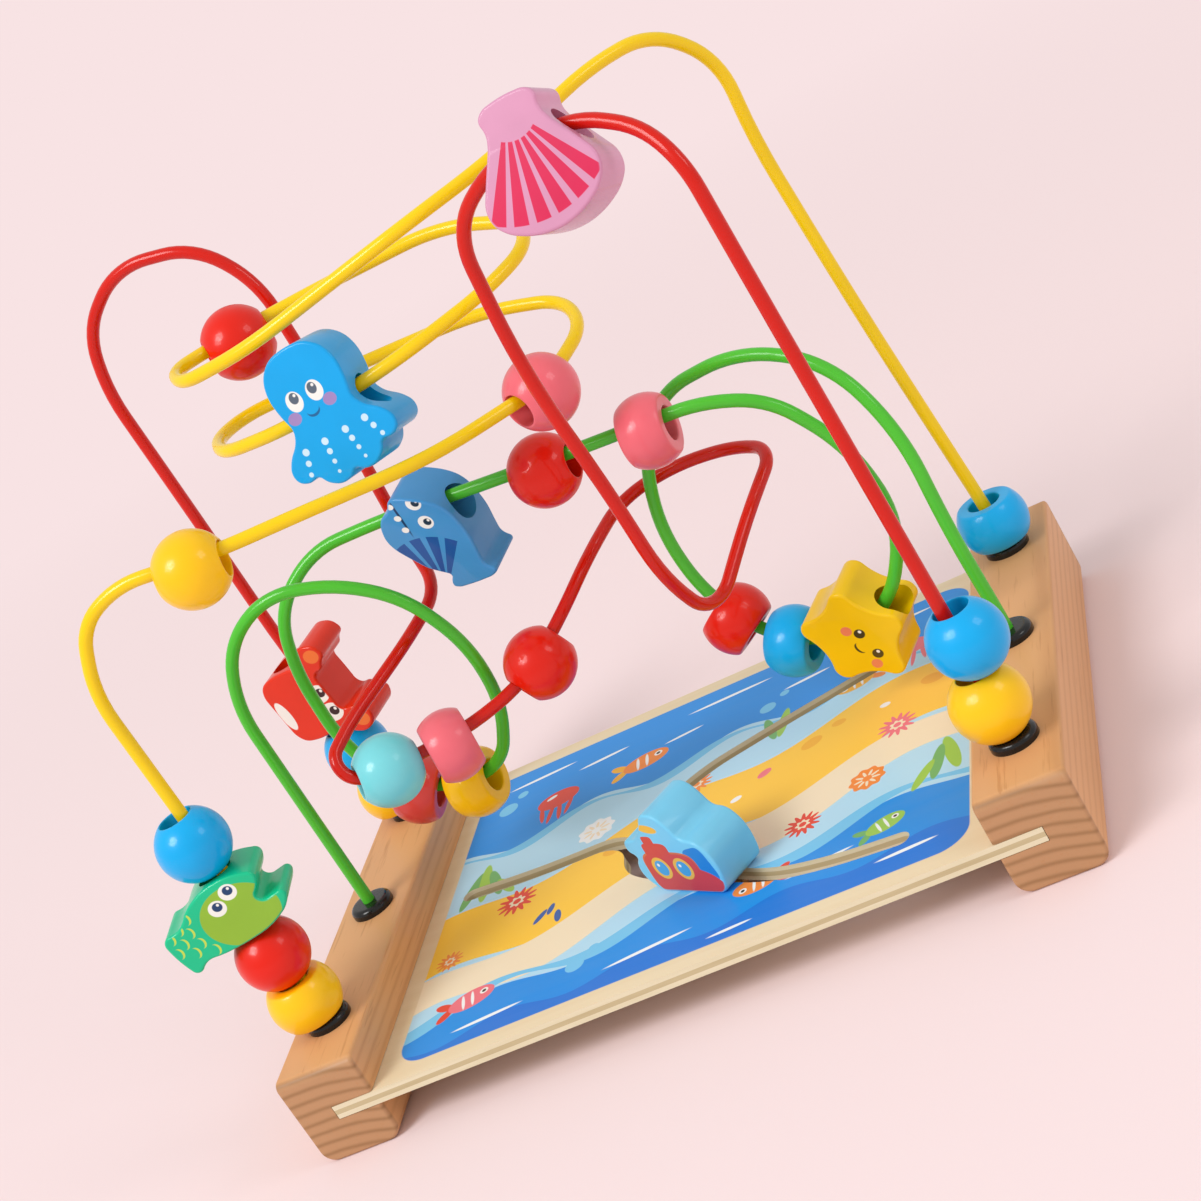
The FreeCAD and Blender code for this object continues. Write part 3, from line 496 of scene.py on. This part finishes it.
def print_motifs(painter):
    """Everything that is printed on the board, from the bands up to the fish."""
    for ink, *band in BANDS:
        painter.wave_band(INKS[ink], *band)
    for ink, *oval in OVALS:
        painter.ellipse(INKS[ink], *oval)
    for ink, x, y, reach, degrees in SAND_DOLLARS:
        painter.star(INKS[ink], x, y, reach, degrees, points=9, depth=0.14)
        painter.star(INKS["cream"], x, y, reach * 0.72, degrees, points=9, depth=0.75)
        painter.ellipse(INKS[ink], x, y, reach * 0.26)
    for ink, x, y, reach, degrees in URCHINS:
        painter.star(INKS[ink], x, y, reach, degrees, points=13, depth=0.42)
        painter.star(INKS["cream"], x, y, reach * 0.42, degrees, points=7, depth=0.3)
        painter.ellipse(INKS[ink], x, y, reach * 0.2)
    for fish in FISH:
        print_fish(painter, *fish)


def inside_print(painter):
    """Mask of the printed field: an oblong with rounded corners."""
    beyond = []
    for along, half_size in ((painter.u, PRINT_HALF_WIDTH_MM), (painter.v, PRINT_HALF_DEPTH_MM)):
        over = painter.maths("SUBTRACT", painter.maths("ABSOLUTE", along), half_size - PRINT_CORNER_MM)
        beyond.append(painter.maths("MAXIMUM", over, 0.0))
    reach = painter.maths("SQRT", painter.squares(*beyond))
    return painter.past(reach, PRINT_CORNER_MM, -PRINT_RIM_SHARPNESS, clamp=True)


# The plies start a little under the board's top face
PLIES_BELOW_MM = BOARD_HIGH.z / MM - 0.065
PLIES_SHARPNESS = 20.0
MIDDLE_PLY_HALF_SHARE = 0.17


def board_plies(painter):
    """Three plies at the board's edges, the middle one darker."""
    thickness = (BOARD_HIGH.z - BOARD_LOW.z) / MM
    height = painter.maths("SUBTRACT", painter.local["Z"], BOARD_LOW.z / MM)
    level = painter.maths("DIVIDE", height, thickness)
    middle = painter.maths("COMPARE", level, 0.5, MIDDLE_PLY_HALF_SHARE)
    grain = painter.noise(700.0, stretch=(0.08, 0.08, 1.0))
    outer_ply = painter.mix(grain, colour("#EEE4C8"), colour("#DCCFA8"))
    inner_ply = painter.mix(grain, colour("#D2C29A"), colour("#BFAC82"))
    return painter.mix(middle, outer_ply, inner_ply)


def printed_plywood(base_veneer):
    """Printed plywood: the print on top, cream veneer round it and three plies at the edge."""
    painter = Painter("printed_plywood", INKS["shallow"], up="Y")
    print_motifs(painter)
    printed = inside_print(painter)
    grain = painter.noise(240.0, stretch=(0.05, 1.0, 1.0))
    shaded = toned(base_veneer, 0.9, 0.84, 0.74)
    painter.masked(printed, painter.mix(grain, base_veneer, shaded))
    faded = painter.mix(painter.maths("MULTIPLY", grain, 0.05), painter.paint, shaded)
    top = painter.past(painter.local["Z"], PLIES_BELOW_MM, PLIES_SHARPNESS, clamp=True)
    whole = painter.mix(top, board_plies(painter), faded)
    fibres = painter.noise(900.0, detail=2.0, stretch=(0.1, 1.0, 1.0))
    painter.bump(fibres, distance=0.04 * MM, strength=0.3)
    return painter.finish(whole, painter.between(grain, 0.36, 0.46), coat=0.15, coat_roughness=0.2)


# Shapes taken from the frame

# How alike two normals are, as a cosine, to be one flat face, how many triangles are tried
# for it, and the area that a thinner triangle is taken to have
SAME_FACE_COSINE = 0.9995
TRIANGLES_TRIED = 60
LEAST_AREA = 1e-12
# Distances under which points are merged, on copies of nodes and on turned beads
COPY_MERGE = 0.002 * MM
BEAD_MERGE = 0.005 * MM


def triangles(node):
    """Corner points of a node's triangles."""
    mesh = frame["nodes"][node].data
    mesh.calc_loop_triangles()
    points = np.array([v.co[:] for v in mesh.vertices])
    return points[np.array([t.vertices[:] for t in mesh.loop_triangles])]


def largest_face_normal(node):
    """Outward normal of a flat figure's front face."""
    corners = triangles(node)
    cross = np.cross(corners[:, 1] - corners[:, 0], corners[:, 2] - corners[:, 0])
    area = np.linalg.norm(cross, axis=1)
    normals = cross / np.maximum(area[:, None], LEAST_AREA)

    def shared_area(index):
        return area[np.abs(normals @ normals[index]) > SAME_FACE_COSINE].sum()

    best = max(np.argsort(area)[-TRIANGLES_TRIED:], key=shared_area)
    alike = normals @ normals[best] > SAME_FACE_COSINE
    normal = (normals[alike] * area[alike, None]).sum(axis=0)
    normal /= np.linalg.norm(normal)
    return Vector(normal if normal[1] < 0 else -normal)


def axis_of_ring(node):
    """Direction of the hole through a turned bead, along which it is shortest."""
    corners = triangles(node)
    cross = np.cross(corners[:, 1] - corners[:, 0], corners[:, 2] - corners[:, 0])
    area = np.linalg.norm(cross, axis=1)
    centres = corners.mean(axis=1) - corners.reshape(-1, 3).mean(axis=0)
    spread = (centres * area[:, None]).T @ centres
    shortest_first = np.linalg.eigh(spread)[1]
    return Vector(shortest_first[:, 0])


def travel_direction(node):
    """Direction in which a piece sets off along its wire."""
    joint = JOINT_OF[BODY_OF[node]]
    axis = Vector(joint["axis"])
    if joint["type"] == "slide":
        return axis
    low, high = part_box(node)
    return axis.cross((low + high) / 2 - Vector(joint["pos_m"])).normalized()


def figure_place(node, along=None, up=None, middle=(0, 0)):
    """Origin and turn of a flat figure: X across it, Y from front to back and Z up it. The
    origin is the figure's centre, less so many millimetres across and up."""
    back = -largest_face_normal(node)
    if along is not None:
        across = (along - back * along.dot(back)).normalized()
        upward = across.cross(back)
    else:
        upward = (up - back * up.dot(back)).normalized()
        across = back.cross(upward)
    turn = Matrix((across, back, upward)).transposed()
    local = np.array([v.co[:] for v in frame["nodes"][node].data.vertices]) @ np.array(turn)
    centre = (local.min(axis=0) + local.max(axis=0)) / 2
    centre[0] -= middle[0] * MM
    centre[2] -= middle[1] * MM
    return turn @ Vector(centre), turn


def smooth_copy(node, material, sharp_degrees=35.0):
    """Merged, smoothly shaded copy of a node that stands in its place."""
    mesh = frame["nodes"][node].data.copy()
    mesh.materials.clear()
    work = bmesh.new()
    work.from_mesh(mesh)
    bmesh.ops.remove_doubles(work, verts=work.verts, dist=COPY_MERGE)
    sharp_angle = math.radians(sharp_degrees)
    for edge in work.edges:
        edge.smooth = len(edge.link_faces) == 2 and edge.calc_face_angle(math.pi) < sharp_angle
    for face in work.faces:
        face.smooth = True
    work.to_mesh(mesh)
    work.free()
    mesh.materials.append(material)
    place_piece(node + "_finish", mesh, node)


def place_piece(name, mesh, node):
    """Links a mesh as a piece that stands for a node, on its body, and hides the node."""
    piece = bpy.data.objects.new(name, mesh)
    bpy.context.scene.collection.objects.link(piece)
    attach(piece, BODY_OF[node])
    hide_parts(node)


# Turned beads

# Steps of a bead's profile before and after it is made even, and steps round its hole
PROFILE_STEPS = 360
EVEN_STEPS = 110
ROUND_STEPS = 96
SOFTENING_STEPS = 2


def bead_tree():
    """Geometry nodes that turn a bead: a circle cut off at the hole and at the ends,
    swept once round the hole."""
    group = bpy.data.node_groups.new("turned_bead", "GeometryNodeTree")
    for name, default in (("Diameter", 20 * MM), ("Hole", 9.2 * MM), ("Length", 17.4 * MM)):
        size = group.interface.new_socket(name, in_out="INPUT", socket_type="NodeSocketFloat")
        size.default_value = default
        size.subtype = "DISTANCE"
    group.interface.new_socket("Paint", in_out="INPUT", socket_type="NodeSocketMaterial")
    group.interface.new_socket("Geometry", in_out="OUTPUT", socket_type="NodeSocketGeometry")
    tree = Tree(group)

    def shaped(kind, inputs, **settings):
        return tree.node(kind, inputs, **settings).outputs[0]

    inputs = tree.node("NodeGroupInput").outputs
    radius, hole, half_length = (tree.maths("MULTIPLY", inputs[name], 0.5)
                                 for name in ("Diameter", "Hole", "Length"))
    middle = tree.maths("MULTIPLY", tree.maths("ADD", radius, hole), 0.5)
    place = tree.node("GeometryNodeInputPosition").outputs[0]
    parts = tree.node("ShaderNodeSeparateXYZ", {0: place}).outputs
    from_middle = tree.maths("SUBTRACT", tree.maths("MAXIMUM", parts["X"], hole), middle)
    along = tree.maths("MAXIMUM", tree.maths("MINIMUM", parts["Y"], half_length),
                       tree.maths("MULTIPLY", half_length, -1.0))
    cut_place = shaped("ShaderNodeCombineXYZ", {"X": from_middle, "Y": along})
    profile = shaped("GeometryNodeCurvePrimitiveCircle", {"Resolution": PROFILE_STEPS, "Radius": radius})
    profile = shaped("GeometryNodeSetPosition", {"Geometry": profile, "Position": cut_place})
    profile = shaped("GeometryNodeResampleCurve", {"Curve": profile, "Count": EVEN_STEPS})
    softer = shaped("GeometryNodeBlurAttribute", {"Value": place, "Iterations": SOFTENING_STEPS},
                    data_type="FLOAT_VECTOR")
    profile = shaped("GeometryNodeSetPosition", {"Geometry": profile, "Position": softer})
    ring = shaped("GeometryNodeCurvePrimitiveCircle", {"Resolution": ROUND_STEPS, "Radius": middle})
    bead = shaped("GeometryNodeCurveToMesh", {"Curve": ring, "Profile Curve": profile})
    bead = shaped("GeometryNodeSetShadeSmooth", {"Geometry": bead})
    bead = shaped("GeometryNodeRealizeInstances", {0: bead})
    bead = shaped("GeometryNodeSetMaterial", {"Geometry": bead, "Material": inputs["Paint"]})
    tree.node("NodeGroupOutput", {0: bead})
    return group


def turned_bead(tree, node, length, paint, sizes):
    """One bead from the geometry nodes, set on its node's centre and hole."""
    maker = bpy.data.objects.new("bead_maker", bpy.data.meshes.new("bead_maker"))
    bpy.context.scene.collection.objects.link(maker)
    turning = maker.modifiers.new("Turning", "NODES")
    turning.node_group = tree
    values = {"Diameter": sizes.bead_diameter, "Hole": sizes.bead_hole, "Length": length, "Paint": paint}
    for item in tree.interface.items_tree:
        if item.in_out == "INPUT":
            turning[item.identifier] = values[item.name]
    evaluated = maker.evaluated_get(bpy.context.evaluated_depsgraph_get())
    mesh = bpy.data.meshes.new_from_object(evaluated)
    bpy.data.objects.remove(maker)
    low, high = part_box(node)
    axis = axis_of_ring(node)
    turn = axis.to_track_quat("Z", "Y").to_matrix().to_4x4()
    mesh.transform(Matrix.Translation((low + high) / 2) @ turn)
    work = bmesh.new()
    work.from_mesh(mesh)
    bmesh.ops.remove_doubles(work, verts=work.verts, dist=BEAD_MERGE)
    bmesh.ops.recalc_face_normals(work, faces=work.faces)
    work.to_mesh(mesh)
    work.free()
    mesh.name = node + "_turned"
    place_piece(node + "_turned", mesh, node)


# Painted figures

# The print stops a little short of the rounded rim, in depth from the figure's middle
FIGURE_HALF_THICKNESS_MM = 7.5
FACE_FROM_MM = FIGURE_HALF_THICKNESS_MM - 0.12
FACE_SHARPNESS = 8.0
FIGURE_SHARP_DEGREES = 30.0
EYE_GREY = colour("#5C6470")
MAUVE = colour("#A487C0")


def face_only(painter, base):
    """Keeps the print on the two flat faces, in from the rounded edge."""
    depth = painter.maths("ABSOLUTE", painter.local["Y"])
    painter.masked(painter.past(depth, FACE_FROM_MM, FACE_SHARPNESS, clamp=True), base)
    return paint_finish(painter, painter.paint)


def octopus_paint(base):
    """Face with cheeks and a smile, over four rows of suckers."""
    origin, turn = figure_place("octopus", travel_direction("octopus"), middle=(0, 1.7))
    painter = Painter("octopus_paint", base, origin, turn)
    centre = -1.5
    pale = colour("#D2EEFC")
    for side in (-1, 1):
        painter.ellipse(MAUVE, centre + side * 5.6, 3.3, 1.9, 1.6)
        painter.ellipse(WHITE, centre + side * 3.2, 7.0, 2.3, 2.7)
        painter.ellipse(EYE_GREY, centre + side * 2.9, 7.8, 1.3, 1.5)
        painter.ellipse(WHITE, centre + side * 2.9 + 0.5, 8.4, 0.4)
    painter.crescent(colour("#1D5F96"), centre, 2.9, 1.9, 0.7)
    rows = ((-11.5, -20), (-4.0, -6), (4.0, 6), (11.5, 20))
    for start, lean in rows:
        for step in range(4):
            reach = 0.95 - 0.16 * step
            painter.ellipse(pale, start * 0.82 + lean * 0.05 * step, -5.0 - 2.7 * step, reach)
    return face_only(painter, base)


def whale_paint(base):
    """Ribbed belly, a line of breath marks and two eyes."""
    origin, turn = figure_place("whale", travel_direction("whale"), middle=(-0.5, -5.2))
    painter = Painter("whale_paint", base, origin, turn)
    painter.fan(colour("#174F9A"), -4.4, -20, 4.5, 17.5, -8, 36, 4)
    painter.ellipse(colour("#12325C"), -4.4, 4.8, 0.4, 6.2, 0)
    for z in (0.8, 4.8, 8.8):
        painter.ellipse(WHITE, -5.3, z, 1.1, 0.9)
    for z in (1.4, 7.8):
        painter.ellipse(WHITE, 1.9, z, 2.3, 2.1)
        painter.ellipse(colour("#14263C"), 2.4, z, 1.2, 1.1)
        painter.ellipse(WHITE, 2.9, z + 0.4, 0.4)
    return face_only(painter, base)


def star_paint(base):
    """Two eyes, two cheeks and a smile, turned to the star's side."""
    origin, turn = figure_place("star", -travel_direction("star"), middle=(1.1, 0.0))
    painter = Painter("star_paint", base, origin, turn)
    for x, z in ((1.0, 4.3), (-1.2, -8.0)):
        painter.ellipse(colour("#F0805E"), x, z, 1.7, 1.5)
    for x, z in ((3.3, 1.5), (1.9, -5.9)):
        painter.ellipse(BLACK, x, z, 1.7, 1.5)
        painter.ellipse(WHITE, x + 0.6, z + 0.4, 0.5)
    painter.crescent(BLACK, -0.6, -1.7, 1.8, 0.75, -100)
    return face_only(painter, base)


# How far the crab leans to the left
CRAB_LEAN = math.radians(6.81)


def crab_paint(base):
    """Two eyes, a pale patch and the orange joints of the claws."""
    upward = Vector((-math.sin(CRAB_LEAN), 0.0, math.cos(CRAB_LEAN)))
    origin, turn = figure_place("crab", up=upward, middle=(4.7, 0.0))
    painter = Painter("crab_paint", base, origin, turn)
    for side in (-1, 1):
        painter.ellipse(colour("#F2742A"), 15.0, side * 12.0, 2.6, 2.2)
    painter.ellipse(WHITE, -7.0, -0.6, 1.9, 5.2)
    for z in (0.9, -5.9):
        painter.ellipse(WHITE, 7.8, z, 4.0, 3.1)
        painter.ellipse(BLACK, 8.9, z + 0.1, 1.7, 1.5)
        painter.ellipse(WHITE, 9.6, z + 0.6, 0.5)
    return face_only(painter, base)


def fish_paint(base):
    """Pale face, scales behind it and two eyes."""
    origin, turn = figure_place("fish", up=Vector((0, 0, 1)), middle=(-1.8, -1.3))
    painter = Painter("fish_paint", base, origin, turn)
    painter.ellipse(colour("#93BC2C"), 2.8, -2.0, 10.8, 8.8, -8)
    for x, z in ((-10.4, 3.4), (-11.6, -0.4), (-10.6, -4.2), (-8.2, -7.6), (-13.8, 1.6), (-14.6, -2.4),
                 (-13.2, -6.0), (-17.0, 0.2), (-17.2, -4.2)):
        painter.crescent(colour("#C9DE4A"), x, z, 1.6, 0.6, 90)
    for x, z in ((-1.6, 2.2), (3.2, 5.0)):
        painter.ellipse(WHITE, x, z, 2.5, 2.3)
        painter.ellipse(colour("#1B2F6B"), x + 0.2, z + 0.4, 1.4, 1.3)
        painter.ellipse(WHITE, x + 0.6, z + 0.9, 0.4)
    return face_only(painter, base)


def shell_paint(base):
    """Ribs that spread from the shell's foot."""
    origin, turn = figure_place("shell", -travel_direction("shell"), middle=(0, -4.1))
    painter = Painter("shell_paint", base, origin, turn)
    painter.fan(colour("#D8124E"), 0, 9, 7.4, 26.2, 180, 37, 6)
    return face_only(painter, base)


def submarine_paint(base):
    """Red hull with a tower, a fin and two portholes."""
    origin, turn = figure_place("submarine_body", up=Vector((0, 0, 1)), middle=(-0.6, 12.5))
    painter = Painter("submarine_paint", base, origin, turn)
    red = colour("#D92B12")
    gold = colour("#F4B81E")
    glass = colour("#3F9FD8")
    painter.ellipse(gold, -3.2, 20.6, 3.6, 1.3, -8)
    painter.block(colour("#1C7FD2"), 9.6, 9.0, 4.0, 5.6, 12)
    painter.block(colour("#D9661C"), -2.0, 6.4, 10.3, 6.8)
    painter.block(red, -2.0, 6.1, 10.0, 6.5)
    painter.ellipse(red, 7.0, 3.2, 8.0, 4.6, -14)
    painter.block(red, -4.6, 13.6, 4.8, 2.4)
    painter.block(red, -5.8, 16.6, 2.0, 1.6)
    for x in (-6.4, 2.0):
        painter.ellipse(gold, x, 7.8, 3.3, 3.5)
        painter.ellipse(glass, x, 7.8, 2.3, 2.5)
        painter.ellipse(WHITE, x - 0.7, 8.8, 0.5)
    return face_only(painter, base)


# Operators

class MAZE_OT_rails(bpy.types.Operator):
    """Finish the two rails in lacquered beech"""
    bl_idname = "maze.rails"
    bl_label = "Rails"

    def execute(self, context):
        base = tuple(context.scene.maze_colours.beech)
        rings = context.scene.maze_sizes.grain_scale
        for node, heart in HEART_OF.items():
            smooth_copy(node, beech_wood(node + "_beech", base, rings, heart))
        return {"FINISHED"}


class MAZE_OT_board(bpy.types.Operator):
    """Print the play board and show its plies"""
    bl_idname = "maze.board"
    bl_label = "Play board"

    def execute(self, context):
        smooth_copy("play_board", printed_plywood(tuple(context.scene.maze_colours.veneer)),
                    sharp_degrees=25.0)
        return {"FINISHED"}


class MAZE_OT_wires(bpy.types.Operator):
    """Enamel the three wires and fit the black collars"""
    bl_idname = "maze.wires"
    bl_label = "Wires and collars"

    def execute(self, context):
        colours = context.scene.maze_colours
        for name in ("yellow", "red", "green"):
            enamel = wire_enamel(name + "_enamel", tuple(getattr(colours, name + "_wire")))
            smooth_copy("wire_" + name, enamel, sharp_degrees=50.0)
        plastic = collar_plastic()
        for node in frame["nodes"]:
            if node.startswith("collar_"):
                smooth_copy(node, plastic, sharp_degrees=40.0)
        return {"FINISHED"}


# Beads that are cut short along their hole
FLAT_BEADS = {
    "front_left_bead_yellow", "back_right_bead_blue", "back_left_bead_yellow", "red_wire_bead_pink",
    "green_wire_bead_yellow", "green_wire_bead_coral", "green_wire_bead_pink",
    "green_wire_bead_blue", "green_wire_bead_scarlet",
}


class MAZE_OT_beads(bpy.types.Operator):
    """Turn and paint the beads"""
    bl_idname = "maze.beads"
    bl_label = "Beads"

    def execute(self, context):
        colours = context.scene.maze_colours
        sizes = context.scene.maze_sizes
        tree = bead_tree()
        ball = math.sqrt(sizes.bead_diameter ** 2 - sizes.bead_hole ** 2)
        paints = {}
        for node in sorted(name for name in frame["nodes"] if "_bead_" in name):
            paint_slot = SLOT_OF[node]
            if paint_slot not in paints:
                paints[paint_slot] = paint_finish(Nodes(paint_slot), tuple(getattr(colours, paint_slot)))
            flat = node in FLAT_BEADS
            turned_bead(tree, node, sizes.flat_length if flat else ball, paints[paint_slot], sizes)
        return {"FINISHED"}


class MAZE_OT_figures(bpy.types.Operator):
    """Paint the six sea animals"""
    bl_idname = "maze.figures"
    bl_label = "Sea animals"

    def execute(self, context):
        colours = context.scene.maze_colours
        makers = {"octopus": octopus_paint, "whale": whale_paint, "star": star_paint,
                  "crab": crab_paint, "fish": fish_paint, "shell": shell_paint}
        for node, maker in makers.items():
            paint = maker(tuple(getattr(colours, node + "_paint")))
            smooth_copy(node, paint, sharp_degrees=FIGURE_SHARP_DEGREES)
        return {"FINISHED"}


class MAZE_OT_submarine(bpy.types.Operator):
    """Paint the submarine and finish its peg and washer"""
    bl_idname = "maze.submarine"
    bl_label = "Submarine"

    def execute(self, context):
        colours = context.scene.maze_colours
        smooth_copy("submarine_body", submarine_paint(tuple(colours.submarine_paint)),
                    sharp_degrees=FIGURE_SHARP_DEGREES)
        wood = beech_wood("peg_beech", tuple(colours.beech), context.scene.maze_sizes.grain_scale)
        smooth_copy("submarine_peg", wood)
        smooth_copy("retaining_washer", wood)
        return {"FINISHED"}


# Camera: its place in metres and its turn about X, Y and Z in degrees, as in the photograph
CAMERA_PLACE = Vector((0.2148, -0.56356, 0.29279))
CAMERA_TURN = (67.680, 29.537, 8.715)
IMAGE_PIXELS = 1201
FOCAL_PIXELS = 2443.0
SENSOR_MM = 36.0
CLIP_START = 0.01
CLIP_END = 50.0
# Lamps: name, kind, place, power, and the sun's angle or the softbox's side in metres
LAMPS = [
    ("key_sun", "SUN", (-0.5, -0.7, 1.0), 1.0, math.radians(24)),
    ("softbox_left", "AREA", (-0.55, -0.55, 0.75), 2.0, 0.35),
    ("softbox_right", "AREA", (0.75, -0.2, 0.6), 0.9, 0.3),
]
LAMP_AIM = Vector((0.0, 0.0, 0.08))
STUDIO_LIGHT = (1.0, 0.985, 0.97, 1.0)
STUDIO_STRENGTH = 0.68
# Floor: half its side, and where it starts to fade into the backdrop and over what length
FLOOR_REACH = 12.0
FLOOR_FADE_FROM = 0.3
FLOOR_FADE = 0.6


def lay_floor(scene, tint):
    """Pale floor that takes the toy's shadow and fades into the backdrop's own colour."""
    mesh = bpy.data.meshes.new("floor")
    corners = [(x * FLOOR_REACH, y * FLOOR_REACH, 0) for x, y in ((-1, -1), (1, -1), (1, 1), (-1, 1))]
    mesh.from_pydata(corners, [], [(0, 1, 2, 3)])
    floor = bpy.data.objects.new("floor", mesh)
    scene.collection.objects.link(floor)
    nodes = Nodes("floor_card")
    away = nodes.node("ShaderNodeVectorMath", {0: nodes.object_coordinates}, operation="LENGTH")
    fade = nodes.past(away.outputs["Value"], FLOOR_FADE_FROM, 1 / FLOOR_FADE, clamp=True)
    nodes.feed(nodes.shader.inputs["Emission Color"], tint)
    nodes.feed(nodes.shader.inputs["Emission Strength"], fade)
    card = nodes.mix(fade, toned(tint, 0.95, 0.95, 0.95), (0.0, 0.0, 0.0, 1.0))
    mesh.materials.append(nodes.finish(card, roughness=0.9, specular=0.0))


def light_world(scene, tint):
    """Even studio light, with a plain backdrop where the camera sees past the floor."""
    world = bpy.data.worlds.new("studio")
    scene.world = world
    world.use_nodes = True
    tree = Tree(world.node_tree)
    background = world.node_tree.nodes["Background"]
    tree.feed(background.inputs["Color"], STUDIO_LIGHT)
    tree.feed(background.inputs["Strength"], STUDIO_STRENGTH)
    seen = tree.node("ShaderNodeBackground", {"Color": tint})
    rays = tree.node("ShaderNodeLightPath")
    choose = tree.node("ShaderNodeMixShader", {
        0: rays.outputs["Is Camera Ray"], 1: background.outputs[0], 2: seen.outputs[0]})
    tree.feed(world.node_tree.nodes["World Output"].inputs["Surface"], choose.outputs[0])


def hang_lamp(scene, name, kind, place, power, spread):
    """A sun or a square softbox that points at the toy."""
    light = bpy.data.lights.new(name, kind)
    light.energy = power
    if kind == "SUN":
        light.angle = spread
    else:
        light.size = spread
    made = bpy.data.objects.new(name, light)
    scene.collection.objects.link(made)
    turn = (LAMP_AIM - Vector(place)).to_track_quat("-Z", "Y").to_matrix().to_4x4()
    made.matrix_world = Matrix.Translation(place) @ turn


def set_camera(scene):
    """Camera at the photograph's place, aim and lens."""
    camera = bpy.data.cameras.new("camera")
    camera.sensor_width = SENSOR_MM
    camera.lens = FOCAL_PIXELS * SENSOR_MM / IMAGE_PIXELS
    camera.clip_start = CLIP_START
    camera.clip_end = CLIP_END
    viewer = bpy.data.objects.new("camera", camera)
    scene.collection.objects.link(viewer)
    turn = Euler([math.radians(angle) for angle in CAMERA_TURN]).to_matrix().to_4x4()
    viewer.matrix_world = Matrix.Translation(CAMERA_PLACE) @ turn
    scene.camera = viewer


class MAZE_OT_stage(bpy.types.Operator):
    """Set the floor, the studio light and the camera"""
    bl_idname = "maze.stage"
    bl_label = "Stage"

    def execute(self, context):
        scene = context.scene
        scene.view_settings.view_transform = "Standard"
        tint = tuple(scene.maze_colours.floor)
        lay_floor(scene, tint)
        light_world(scene, tint)
        for lamp in LAMPS:
            hang_lamp(scene, *lamp)
        set_camera(scene)
        return {"FINISHED"}


class MAZE_PT_panel(bpy.types.Panel):
    """Bead maze pieces"""
    bl_label = "Bead Maze"
    bl_idname = "MAZE_PT_panel"
    bl_space_type = "VIEW_3D"
    bl_region_type = "UI"
    bl_category = "Bead Maze"

    def draw(self, context):
        for operator in PIECES:
            self.layout.operator(operator.bl_idname)


PIECES = [MAZE_OT_rails, MAZE_OT_board, MAZE_OT_wires, MAZE_OT_beads, MAZE_OT_figures,
          MAZE_OT_submarine, MAZE_OT_stage]
CLASSES = [MazeColours, MazeSizes] + PIECES + [MAZE_PT_panel]


def register():
    for made in CLASSES:
        bpy.utils.register_class(made)
    bpy.types.Scene.maze_colours = PointerProperty(type=MazeColours)
    bpy.types.Scene.maze_sizes = PointerProperty(type=MazeSizes)


def unregister():
    del bpy.types.Scene.maze_sizes
    del bpy.types.Scene.maze_colours
    for made in reversed(CLASSES):
        bpy.utils.unregister_class(made)


def main():
    register()
    bpy.ops.maze.rails()
    bpy.ops.maze.board()
    bpy.ops.maze.wires()
    bpy.ops.maze.beads()
    bpy.ops.maze.figures()
    bpy.ops.maze.submarine()
    bpy.ops.maze.stage()


if __name__ == "__main__":
    main()
